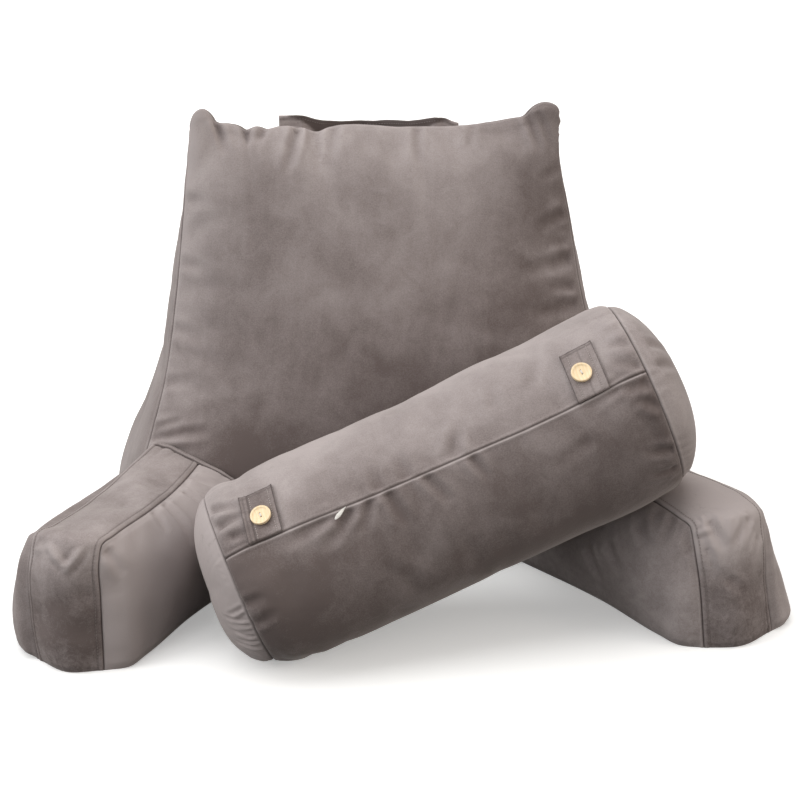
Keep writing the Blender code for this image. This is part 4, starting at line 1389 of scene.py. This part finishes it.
def stitches(name, lines, thread, pitch=0.0036, length=0.0027, radius=0.00036):
    """Rows of lock stitch, as one object. Each line is its points and the cloth's outward side."""
    turn = np.linspace(0.0, 2.0 * math.pi, STITCH_SIDES, endpoint=False)
    places, faces = [], []
    for points, outward in lines:
        for middle, ahead, up in zip(*spread_along(points, outward, pitch)):
            side = np.cross(ahead, up)
            first = len(places)
            for along, size, sink in STITCH_RINGS:
                centre = middle + ahead * along * 0.5 * length + up * radius * (0.6 - sink)
                for t in turn:
                    places.append(centre + (side * math.cos(t) + up * math.sin(t)) * radius * size)
            for ring in range(len(STITCH_RINGS) - 1):
                for k in range(STITCH_SIDES):
                    a = first + ring * STITCH_SIDES + k
                    b = first + ring * STITCH_SIDES + (k + 1) % STITCH_SIDES
                    faces.append((a, b, b + STITCH_SIDES, a + STITCH_SIDES))
            last = first + (len(STITCH_RINGS) - 1) * STITCH_SIDES
            faces.append(tuple(range(first + STITCH_SIDES - 1, first - 1, -1)))
            faces.append(tuple(range(last, last + STITCH_SIDES)))
    places = np.array(places)
    places[:, 2] = np.maximum(places[:, 2], 0.0)
    ride_root(mesh_object(name, places, faces, thread), "velvet")


def slab(name, grid, thickness, pile_and_painted_light, seam):
    """A band of doubled cloth over a grid, with rounded long edges. Columns run along it."""
    rows, columns = grid.shape[:2]
    outward = grid_normals(grid)
    half = 0.5 * thickness[..., None]

    def wrap(front, back, foot, top):
        return np.concatenate([front, top[None], back[::-1], foot[None]]).swapaxes(0, 1)

    top = grid[-1] + unit(grid[-1] - grid[-2]) * half[-1]
    foot = grid[0] + unit(grid[0] - grid[1]) * half[0]
    places = wrap(grid + outward * half, grid - outward * half, foot, top)
    around = places.shape[1]
    faces = []
    for c in range(columns - 1):
        for k in range(around):
            a, b = c * around + k, c * around + (k + 1) % around
            faces.append((a, a + around, b + around, b))
    for first, flip in ((0, False), ((columns - 1) * around, True)):
        ends = [(k, k + 1, 2 * rows - 1 - k, 2 * rows - k) for k in range(rows - 1)]
        ends += [(rows - 1, rows, rows + 1), (2 * rows + 1, 0, 2 * rows)]
        for end in ends:
            corners = tuple(first + k for k in end)
            faces.append(corners[::-1] if flip else corners)
    thing = mesh_object(name, places.reshape(-1, 3), faces, VELVET)
    for word, values in (("pile_and_painted_light", pile_and_painted_light), ("seam", seam)):
        values = np.broadcast_to(values, grid.shape[:2])
        mark(thing, word, wrap(values, values, values[0], values[-1]))
    mark(thing, "crushed", np.full(places.shape[:2], TRIM_CRUSH))
    counts = np.meshgrid(np.arange(columns), np.arange(around), indexing="ij")
    lay_out(thing, np.stack(counts, axis=-1).reshape(-1, 2) * CLOTH_PITCH)
    return thing


WELT_WIDTH = 0.0066
WELT_HEIGHT = 0.0032
WELT_SET_IN = 0.0034
WELT_CELL = 0.0025
WELT_SIDES = 20
WELT_STITCH_SHARE = 0.56
ROOT_LINE_TRIM = 3
ROOT_LINE_SMOOTHING = 12
TOPSTITCH_IN = 0.0064


def root_line(arm, side, distance):
    """Round the root of an arm, from the floor inside, over the top, to the floor outside."""
    inner_side, outer_side = ("left", "right") if side == RIGHT else ("right", "left")
    inner = arm.line("inner", inner_side, distance)
    top = arm.line("strip", "high", distance)
    outer = arm.line("outer", outer_side, distance)
    if side == LEFT:
        top = [values[::-1] for values in top]
    outer = [values[::-1] for values in outer]
    cut = ROOT_LINE_TRIM
    lines = [np.concatenate([a[:-cut], b[cut:-cut], c[cut:]]) for a, b, c in zip(inner, top, outer)]
    for _ in range(ROOT_LINE_SMOOTHING):
        lines = [np.vstack([a[:1], 0.25 * (a[:-2] + a[2:]) + 0.5 * a[1:-1], a[-1:]]) for a in lines]
    return lines


def welt(name, points, outward):
    """A folded seam allowance, stitched flat along a line on the cloth."""
    middles, ahead, up = spread_along(points, outward, WELT_CELL)
    turn = np.linspace(0.0, 2.0 * math.pi, WELT_SIDES, endpoint=False)
    side = np.cross(ahead, up)
    run = np.arange(len(middles)) * WELT_CELL
    wide = 0.5 * WELT_WIDTH * (1.0 + 0.05 * waves(run, 71, 0.031))[:, None, None]
    tall = WELT_HEIGHT * (1.0 + 0.10 * waves(run, 72, 0.024))[:, None, None]
    dish = 1.0 - 0.55 * bell(np.cos(turn), 0.30)
    across = wide * np.cos(turn)[None, :, None] * side[:, None]
    lift = tall * (np.sin(turn) * dish)[None, :, None] * up[:, None]
    rings = middles[:, None] + across + lift
    rings[..., 2] = np.maximum(rings[..., 2], 0.0)
    last = len(rings) * WELT_SIDES
    numbers = np.arange(last).reshape(-1, WELT_SIDES)
    faces = [face[::-1] for face in quads_of(np.hstack([numbers, numbers[:, :1]]))]
    faces.append(tuple(range(WELT_SIDES)))
    faces.append(tuple(range(last - 1, last - WELT_SIDES - 1, -1)))
    thing = mesh_object(name, rings.reshape(-1, 3), faces, VELVET)
    # Painted shade in the welt's middle groove and along both its sides.
    groove = bell(np.cos(turn), 0.22) * (np.sin(turn) > 0.0)
    hem_shade = bell(1.0 - np.abs(np.cos(turn)), 0.12)
    mark(thing, "seam", np.broadcast_to(np.maximum(0.55 * groove, 0.8 * hem_shade), rings.shape[:2]))
    mark(thing, "pile_and_painted_light", np.full(rings.shape[:2], 0.05))
    mark(thing, "crushed", np.full(rings.shape[:2], TRIM_CRUSH))
    spots = np.stack(np.meshgrid(run, turn * 0.001, indexing="ij"), axis=-1)
    lay_out(thing, spots.reshape(-1, 2))
    ride_root(thing, "velvet")


for arm_name, arm, arm_side in (("left", left_arm, LEFT), ("right", right_arm, RIGHT)):
    welt(f"arm_{arm_name}_root_welt", *root_line(arm, arm_side, WELT_SET_IN))
    rows = [arm.line("strip", side, TOPSTITCH_IN) for side in ("left", "right")]
    rows.append(root_line(arm, arm_side, WELT_SET_IN + WELT_STITCH_SHARE * WELT_WIDTH))
    stitches(f"arm_{arm_name}_topstitch", rows, TAUPE_THREAD)

STRAP_MIDDLE_X = -0.0085
STRAP_HALF_SPAN = 0.102
STRAP_SEWN_SHARE = 0.26
STRAP_HEIGHT = 0.038
STRAP_TOP = 0.4720
STRAP_SAG = 0.0235
STRAP_BOW = 0.026
STRAP_BOW_POWER = 1.5
STRAP_THICK = 0.0024
STRAP_SEAM_INSET = 0.004
STRAP_RIGHT_DROP = ((0.30, 0.70, 0.85, 1.00), (0.0, 0.005, 0.007, 0.013))
STRAP_LIT = (0.08, 0.26)
STRAP_SHOWS = 0.28
STRAP_ROWS = 14
STRAP_COLUMNS = 90
STRAP_STITCH_IN = 0.0030
STRAP_STITCH_WIDTH = 0.0016
STRAP_RIPPLE = 0.0007
STRAP_PILE = 0.36
STRAP_SHADE = 1.15
STRAP_SHADE_EDGE = 0.08


def carry_strap(tree):
    """The carry strap: both ends sewn behind the top seam, its middle bowed back."""
    seam_height = REAR_ROWS[-1][0] - STRAP_SEAM_INSET
    grid = np.zeros((STRAP_ROWS, STRAP_COLUMNS, 3))
    for c, t in enumerate(np.linspace(-1.0, 1.0, STRAP_COLUMNS)):
        x = STRAP_MIDDLE_X + STRAP_HALF_SPAN * t
        loose = max(1.0 - abs(t) - STRAP_SEWN_SHARE, 0.0) / (1.0 - STRAP_SEWN_SHARE)
        freedom = math.sin(loose * math.pi / 2.0)
        top = STRAP_TOP - STRAP_SAG * freedom - np.interp(t, *STRAP_RIGHT_DROP)
        heights = np.linspace(top - STRAP_HEIGHT, top, STRAP_ROWS)
        seats = [first_hit(tree, (x, 0.0, min(z, seam_height)), -TOWARD_REAR).y for z in heights]
        seats = np.maximum.accumulate(np.array(seats)[::-1])[::-1]
        bow = SOFT_GAP + 0.5 * STRAP_THICK + STRAP_BOW * freedom ** STRAP_BOW_POWER
        grid[:, c, 0] = x
        grid[:, c, 1] = seats + (seats[0] - seats) * freedom + bow
        grid[:, c, 2] = heights
    share = even(STRAP_ROWS - 1)[:, None]
    run = np.linspace(0.0, 2.0 * STRAP_HALF_SPAN, STRAP_COLUMNS)[None, :]
    edge = STRAP_HEIGHT * np.minimum(share, 1.0 - share)
    sewn = bell(edge - STRAP_STITCH_IN, STRAP_STITCH_WIDTH)
    grid[:, :, 1] += STRAP_RIPPLE * waves(run + 0.3 * share, 81, 0.028) * (0.4 + 0.6 * share)
    thickness = STRAP_THICK * (1.0 - 0.45 * sewn) * (1.0 + 0.12 * waves(run, 82, 0.012))
    inward = 1.0 - np.abs(np.linspace(-1.0, 1.0, STRAP_COLUMNS))[None, :]
    # Painted light on part of each end and painted shade over the strap's inner face, in its pile
    # tone and, through the seam mark, in its pressed colour.
    lit_until = STRAP_LIT[0] + STRAP_LIT[1] * np.clip((1.0 - share) / STRAP_SHOWS, 0.0, 1.0)
    shade = np.clip((inward - lit_until) / STRAP_SHADE_EDGE, 0.0, 1.0)
    seam = np.maximum(0.4 * sewn, 0.6 * shade)
    strap = slab("carry_strap", grid, thickness, STRAP_PILE - STRAP_SHADE * shade, seam)
    ride_root(strap, "velvet", "handle_strap")
    outward = grid_normals(grid)
    lines = []
    for row in (1, STRAP_ROWS - 2):
        for sign in (-1.0, 1.0):
            surface = grid[row] + sign * outward[row] * 0.5 * thickness[row][:, None]
            lines.append((surface, sign * outward[row]))
    stitches("carry_strap_stitches", lines, TAUPE_THREAD)


carry_strap(backrest_tree)

TAB_FOOT_LIFT = math.radians(0.9)
TAB_ON_FLAT = 0.7
TAB_WIDTH = 0.036
TAB_THICK = 0.0028
TAB_ROWS = 34
TAB_COLUMNS = 37
TAB_SINK = 0.0004
TAB_CURL = 0.0012
TAB_RIPPLE = 0.0004
TAB_SMOOTHING = 6
TAB_STITCH_TOP = 0.0036
TAB_STITCH = {"pitch": 0.0027, "length": 0.0017, "radius": 0.00030}
TAB_STITCH_DEPTH = 0.0004
TAB_HEM_DEPTH = 0.0008
TAB_DARKEST_DEPTH = 0.0014
TAB_EDGE_SHADE = 0.0007
PRESS_WIDTH = 0.0010
ROLL_CLEAR = 0.3
TABS = {
    # share of the roll's length at its middle, height, lean of its top, column and drop of its
    # button, pressed lines (share of the width, depth), stitched lines (share of the width), pile
    "left": (
        0.0985, 0.0520, 0.17, 19, 0.0036, ((0.10, 0.0007), (0.23, 0.0012)), (0.29, 0.86), -0.16,
    ),
    "right": (
        0.851, 0.0570, 0.11, 14, 0.0028, ((0.04, 0.0003), (0.53, 0.0006)), (0.20, 0.80), -0.12,
    ),
}


def roll_surface(share, angle):
    """Where the finished roll's surface is, as a distance from its axis."""
    centre = ROLL_LEFT + (ROLL_RIGHT - ROLL_LEFT) * share
    outward = roll_spoke(angle)
    hit = roll_tree.ray_cast(Vector(centre + outward * ROLL_CLEAR), Vector(-outward))[0]
    return float((np.array(hit) - centre) @ outward)


def button_tab(side):
    """One tab: folded velvet, pressed and stitched lengthwise, its foot caught in the zip seam."""
    share, height, lean, button_column, button_drop, pressed, stitched, pile_and_painted_light = TABS[side]
    up = even(TAB_ROWS - 1)[:, None]
    across = even(TAB_COLUMNS - 1)[None, :]
    shares = share + ((across - 0.5) * TAB_WIDTH + lean * (up - 0.5) * height) / ROLL_LENGTH
    reach = roll_radius(share) - TAB_ON_FLAT * flat_top(share)
    angles = zip_angle(shares[0])[None, :] - TAB_FOOT_LIFT - up * height / reach
    radii = np.array([[roll_surface(*spot) for spot in zip(*row)] for row in zip(shares, angles)])
    smooth = radii.copy()
    for _ in range(TAB_SMOOTHING):
        wide = np.pad(smooth, 1, mode="edge")
        smooth = (wide[:-2, 1:-1] + wide[2:, 1:-1] + wide[1:-1, :-2] + wide[1:-1, 2:]) / 4.0
    radii = np.maximum(smooth, radii - TAB_SINK) + SOFT_GAP + 0.5 * TAB_THICK
    corner = np.abs(2.0 * across - 1.0) ** 6 * up ** 6
    radii += TAB_CURL * corner + TAB_RIPPLE * waves(across * TAB_WIDTH + 0.4 * up, 91, 0.017)
    middles = ROLL_LEFT + (ROLL_RIGHT - ROLL_LEFT) * shares[..., None]
    grid = middles + roll_spokes(angles) * radii[..., None]

    thin = np.zeros((TAB_ROWS, TAB_COLUMNS))
    for spot, depth in (*pressed, *((spot, TAB_STITCH_DEPTH) for spot in stitched)):
        thin = np.maximum(thin, depth * bell((across - spot) * TAB_WIDTH, PRESS_WIDTH))
    top = height * (1.0 - up)
    thin = np.maximum(thin, TAB_HEM_DEPTH * bell(top - TAB_STITCH_TOP, PRESS_WIDTH))
    edge = np.minimum(TAB_WIDTH * np.minimum(across, 1.0 - across), top)
    # Painted shade in the pressed and stitched lines and along the tab's edges.
    seam = np.maximum(thin / TAB_DARKEST_DEPTH, bell(edge, TAB_EDGE_SHADE))
    tab = slab(f"tab_{side}_cloth", grid, TAB_THICK - thin, pile_and_painted_light, seam)
    ride_root(tab, "velvet", f"tab_{side}")

    outward = grid_normals(grid)
    surface = grid + outward * 0.5 * (TAB_THICK - thin)[..., None]
    pairs = np.concatenate([surface, outward], axis=2)
    lines = []
    for spot in stitched:
        at = spot * (TAB_COLUMNS - 1)
        k = int(at)
        line = pairs[:-2, k] * (1.0 - at + k) + pairs[:-2, k + 1] * (at - k)
        lines.append((line[:, :3], line[:, 3:]))
    stitches(f"tab_{side}_stitches", lines, PALE_THREAD, **TAB_STITCH)
    middle = (round((TAB_ROWS - 1) * (0.5 - button_drop / height)), button_column)
    return surface[middle], outward[middle]


# ---- Turned buttons and the zip pull, modelled as hard pieces.
BUTTON_RADIUS = 0.0107
BUTTON_THICK = 0.0034
BUTTON_DISH = (
    # width of each ring from the rim inwards, how far it sinks
    (0.0021, 0.0),
    (0.0007, 0.0006),
    (0.0022, 0.0003),
    (0.0030, 0.0001),
)
BUTTON_FACE_SINK = 0.0009
BUTTON_ROUNDING = 0.0006
HOLE_RADIUS = 0.0010
HOLE_SPREAD = 0.0021
BUTTON_THREAD = {"pitch": 2.3 * HOLE_SPREAD, "length": 0.0044, "radius": 0.0004}
STRAND_PITCH = 0.00045
HOLE_SIDES = 20
BIT_LENGTH = 0.010
SMOOTH_ANGLE = math.radians(40.0)
PULL_SHARE = 0.251
PULL_DROP = math.radians(3.2)
PULL_DROOP = math.radians(26.0)
PULL_LENGTH = 0.0155
PULL_WIDTH = 0.0044
PULL_THICK = 0.0014
PULL_NARROWS_FROM = (0.002, -0.002, -0.0045)
PULL_NARROWING = 0.86
PULL_HOLE_X = -0.0056
PULL_HOLE_RADIUS = 0.0004
PULL_ROUNDING = 0.00018
BAIL_RADIUS = 0.0018
BAIL_WIRE_RADIUS = 0.00038
BAIL_BACK = 0.0070
BAIL_SINK = 0.0012


def deselect():
    for thing in bpy.context.selected_objects:
        thing.select_set(False)


def only(thing):
    deselect()
    thing.select_set(True)
    bpy.context.view_layer.objects.active = thing


def blank(name, radius, thick, sides):
    """A round blank at the origin, standing on its foot, to be shaped in edit mode."""
    deselect()
    middle = (0.0, 0.0, 0.5 * thick)
    bpy.ops.mesh.primitive_cylinder_add(vertices=sides, radius=radius, depth=thick, location=middle)
    bpy.ops.object.transform_apply(location=True, rotation=False, scale=False)
    bpy.context.object.name = name
    return bpy.context.object


def pick(thing, test):
    """In edit mode, select the faces whose middle and normal pass the test."""
    edit = bmesh.from_edit_mesh(thing.data)
    bpy.ops.mesh.select_mode(type="FACE")
    for face in edit.faces:
        face.select_set(test(face.calc_center_median(), face.normal))
    edit.select_flush(False)
    bmesh.update_edit_mesh(thing.data)


def pick_points(thing, test):
    """In edit mode, select the vertices that pass the test."""
    edit = bmesh.from_edit_mesh(thing.data)
    bpy.ops.mesh.select_mode(type="VERT")
    for vert in edit.verts:
        vert.select_set(test(vert.co))
    edit.select_flush(True)
    bmesh.update_edit_mesh(thing.data)


def drill(thing, centre, radius, sides):
    """Cut one round hole through a piece."""
    deselect()
    bpy.ops.mesh.primitive_cylinder_add(
        vertices=sides, radius=radius, depth=BIT_LENGTH, location=centre
    )
    bit = bpy.context.object
    only(thing)
    cut = thing.modifiers.new("hole", "BOOLEAN")
    cut.operation = "DIFFERENCE"
    cut.object = bit
    bpy.ops.object.modifier_apply(modifier=cut.name)
    bpy.data.objects.remove(bit, do_unlink=True)


def round_edges(thing, width, segments):
    only(thing)
    bevel = thing.modifiers.new("edges", "BEVEL")
    bevel.width = width
    bevel.segments = segments
    bevel.limit_method = "ANGLE"
    bevel.angle_limit = math.radians(35.0)
    bpy.ops.object.modifier_apply(modifier=bevel.name)
    bpy.ops.object.shade_smooth_by_angle(angle=SMOOTH_ANGLE)


def set_down(thing, centre, along, outward, material, slot, *nodes):
    """Put a piece made at the origin in its place, for good."""
    along = unit(along - outward * (along @ outward))
    turn = Matrix([along, np.cross(outward, along), outward]).transposed().to_4x4()
    turn.translation = Vector(centre + SEAT_SHIFT)
    thing.matrix_world = turn
    only(thing)
    bpy.ops.object.transform_apply(location=True, rotation=True, scale=True)
    thing.data.materials.append(material)
    ride_root(thing, slot, *nodes)


def turned_button(side, centre, outward):
    """A turned button: a rounded rim round a dished face, with two holes along the tab."""
    button = blank(f"button_{side}_turned", BUTTON_RADIUS, BUTTON_THICK, 72)
    bpy.ops.object.mode_set(mode="EDIT")
    pick(button, lambda middle, normal: normal.z > 0.9)
    for width, sink in BUTTON_DISH:
        bpy.ops.mesh.inset(thickness=width, depth=-sink)
    bpy.ops.object.mode_set(mode="OBJECT")
    round_edges(button, BUTTON_ROUNDING, 4)
    for sign in (-1.0, 1.0):
        drill(button, (0.0, sign * HOLE_SPREAD, 0.5 * BUTTON_THICK), HOLE_RADIUS, HOLE_SIDES)
    bpy.ops.object.shade_smooth_by_angle(angle=SMOOTH_ANGLE)
    foot = centre + outward * SOFT_GAP
    set_down(button, foot, ROLL_AXIS, outward, BIRCH, "pale_wood", f"button_{side}")

    along = unit(ROLL_AXIS - outward * (ROLL_AXIS @ outward))
    across = np.cross(outward, along)
    face = foot + outward * (BUTTON_THICK - BUTTON_FACE_SINK)
    lines = []
    for shift in (-STRAND_PITCH, 0.0, STRAND_PITCH):
        ends = [face + along * shift + across * sign * HOLE_SPREAD for sign in (-1.15, 1.15)]
        lines.append((np.array(ends), np.array([outward, outward])))
    stitches(f"button_{side}_thread", lines, WHITE_THREAD, **BUTTON_THREAD)


for tab_side in TABS:
    turned_button(tab_side, *button_tab(tab_side))


def zip_pull():
    """The teardrop pull of the zip and the bail that holds it, lying along the seam."""
    seam_angle = float(zip_angle(PULL_SHARE)) + PULL_DROP
    outward = roll_spoke(seam_angle)
    down = np.cross(ROLL_AXIS, outward)
    down = down if down[2] < 0.0 else -down
    hang = down * math.sin(PULL_DROOP) - ROLL_AXIS * math.cos(PULL_DROOP)
    centre = ROLL_LEFT + (ROLL_RIGHT - ROLL_LEFT) * PULL_SHARE
    reach = max(
        roll_surface(PULL_SHARE + shift, seam_angle + lean)
        for shift in (-0.018, -0.009, 0.0, 0.009, 0.018)
        for lean in (-0.03, 0.0, 0.03, 0.06)
    )
    place = centre + outward * (reach + SOFT_GAP)
    pull = blank("zip_pull_drop", 0.5 * PULL_LENGTH, PULL_THICK, 48)
    bpy.ops.object.mode_set(mode="EDIT")
    squeezes = [(PULL_LENGTH, PULL_WIDTH / PULL_LENGTH)]
    squeezes += [(limit, PULL_NARROWING) for limit in PULL_NARROWS_FROM]
    for limit, narrow in squeezes:
        pick_points(pull, lambda spot, limit=limit: spot.x < limit)
        bpy.ops.transform.resize(value=(1.0, narrow, 1.0), center_override=(0.0, 0.0, 0.0))
    bpy.ops.object.mode_set(mode="OBJECT")
    drill(pull, (PULL_HOLE_X, 0.0, 0.5 * PULL_THICK), PULL_HOLE_RADIUS, 16)
    round_edges(pull, PULL_ROUNDING, 2)
    set_down(pull, place, hang, outward, ZINC, "white_pull", "zip_pull")

    deselect()
    bpy.ops.mesh.primitive_torus_add(
        major_segments=28, minor_segments=10, rotation=(0.5 * math.pi, 0.0, 0.0),
        major_radius=BAIL_RADIUS, minor_radius=BAIL_WIRE_RADIUS,
    )
    bail = bpy.context.object
    bail.name = "zip_bail"
    bpy.ops.object.transform_apply(location=False, rotation=True, scale=False)
    bpy.ops.object.shade_smooth()
    eye = place - hang * BAIL_BACK + outward * (0.5 * PULL_THICK - BAIL_SINK)
    set_down(bail, eye, hang, outward, ZINC, "white_pull")


zip_pull()

# ---- Camera, floor and light.
CAMERA_TARGET = np.array([0.011, 0.0, 0.200])
CAMERA_DISTANCE = 2.42
CAMERA_YAW = math.radians(4.7)
CAMERA_PITCH = math.radians(22.0)
CAMERA_LENS = 99.0
PAPER_RADIUS = 40.0


def make_camera():
    ahead = np.array([
        math.sin(CAMERA_YAW) * math.cos(CAMERA_PITCH),
        math.cos(CAMERA_YAW) * math.cos(CAMERA_PITCH),
        -math.sin(CAMERA_PITCH),
    ])
    camera = bpy.data.objects.new("camera", bpy.data.cameras.new("camera"))
    camera.data.lens = CAMERA_LENS
    camera.location = CAMERA_TARGET + SEAT_SHIFT - ahead * CAMERA_DISTANCE
    camera.rotation_euler = Vector(ahead).to_track_quat("-Z", "Y").to_euler()
    bpy.context.collection.objects.link(camera)
    bpy.context.scene.camera = camera


LIGHTS = (
    # name, where it shines, strength, spread in degrees, tint
    ("top_light", (0.10, -0.12, -1.0), 1.35, 50.0, (1.0, 1.0, 1.0)),
    ("left_light", (0.78, 0.06, -0.62), 1.30, 45.0, (1.0, 1.0, 1.0)),
    ("right_light", (-0.82, 0.16, -0.50), 0.55, 45.0, (1.0, 0.91, 0.82)),
    ("left_fill", (0.80, 0.50, -0.20), 0.90, 60.0, (1.0, 1.0, 1.0)),
    ("right_fill", (-0.85, 0.45, -0.22), 0.85, 60.0, (1.0, 0.92, 0.84)),
)


def soft_sun(name, toward, strength, spread, tint):
    """An even light from far away, with soft shadows."""
    light = bpy.data.objects.new(name, bpy.data.lights.new(name, "SUN"))
    light.data.energy = strength
    light.data.color = tint
    light.data.angle = math.radians(spread)
    light.rotation_euler = Vector(toward).to_track_quat("-Z", "Y").to_euler()
    bpy.context.collection.objects.link(light)


def paper_floor(name, code, drop, glow):
    """A round sheet of paper under everything, as much below the floor as drop says."""
    deselect()
    bpy.ops.mesh.primitive_circle_add(
        vertices=96, radius=PAPER_RADIUS, fill_type="NGON", location=(0.0, 0.0, -drop)
    )
    sheet = bpy.context.object
    sheet.name = name
    paper, _, shader = new_material("Matt_Paper")
    feed(paper.node_tree, shader, {
        "Base Color": linear(code),
        "Roughness": 0.9,
        "Emission Color": linear(code),
        "Emission Strength": glow,
    })
    sheet.data.materials.append(paper)
    return sheet


make_camera()
for light_row in LIGHTS:
    soft_sun(*light_row)
world = bpy.context.scene.world or bpy.data.worlds.new("studio")
bpy.context.scene.world = world
world.use_nodes = True
feed(world.node_tree, world.node_tree.nodes["Background"], {
    "Color": (1.0, 1.0, 1.0, 1.0),
    "Strength": 0.28,
})
bpy.context.scene.view_settings.view_transform = "Standard"

# The white paper is what the camera sees. The grey card under it, which the camera does not
# see, keeps the light that comes back up as low as in the photographed set.
white_floor = paper_floor("studio_floor", "#F7F7F6", 0.0, 0.34)
white_floor.visible_diffuse = False
white_floor.visible_glossy = False
grey_card = paper_floor("studio_card", "#8C8B8A", 0.002, 0.0)
grey_card.visible_camera = False
grey_card.visible_shadow = False
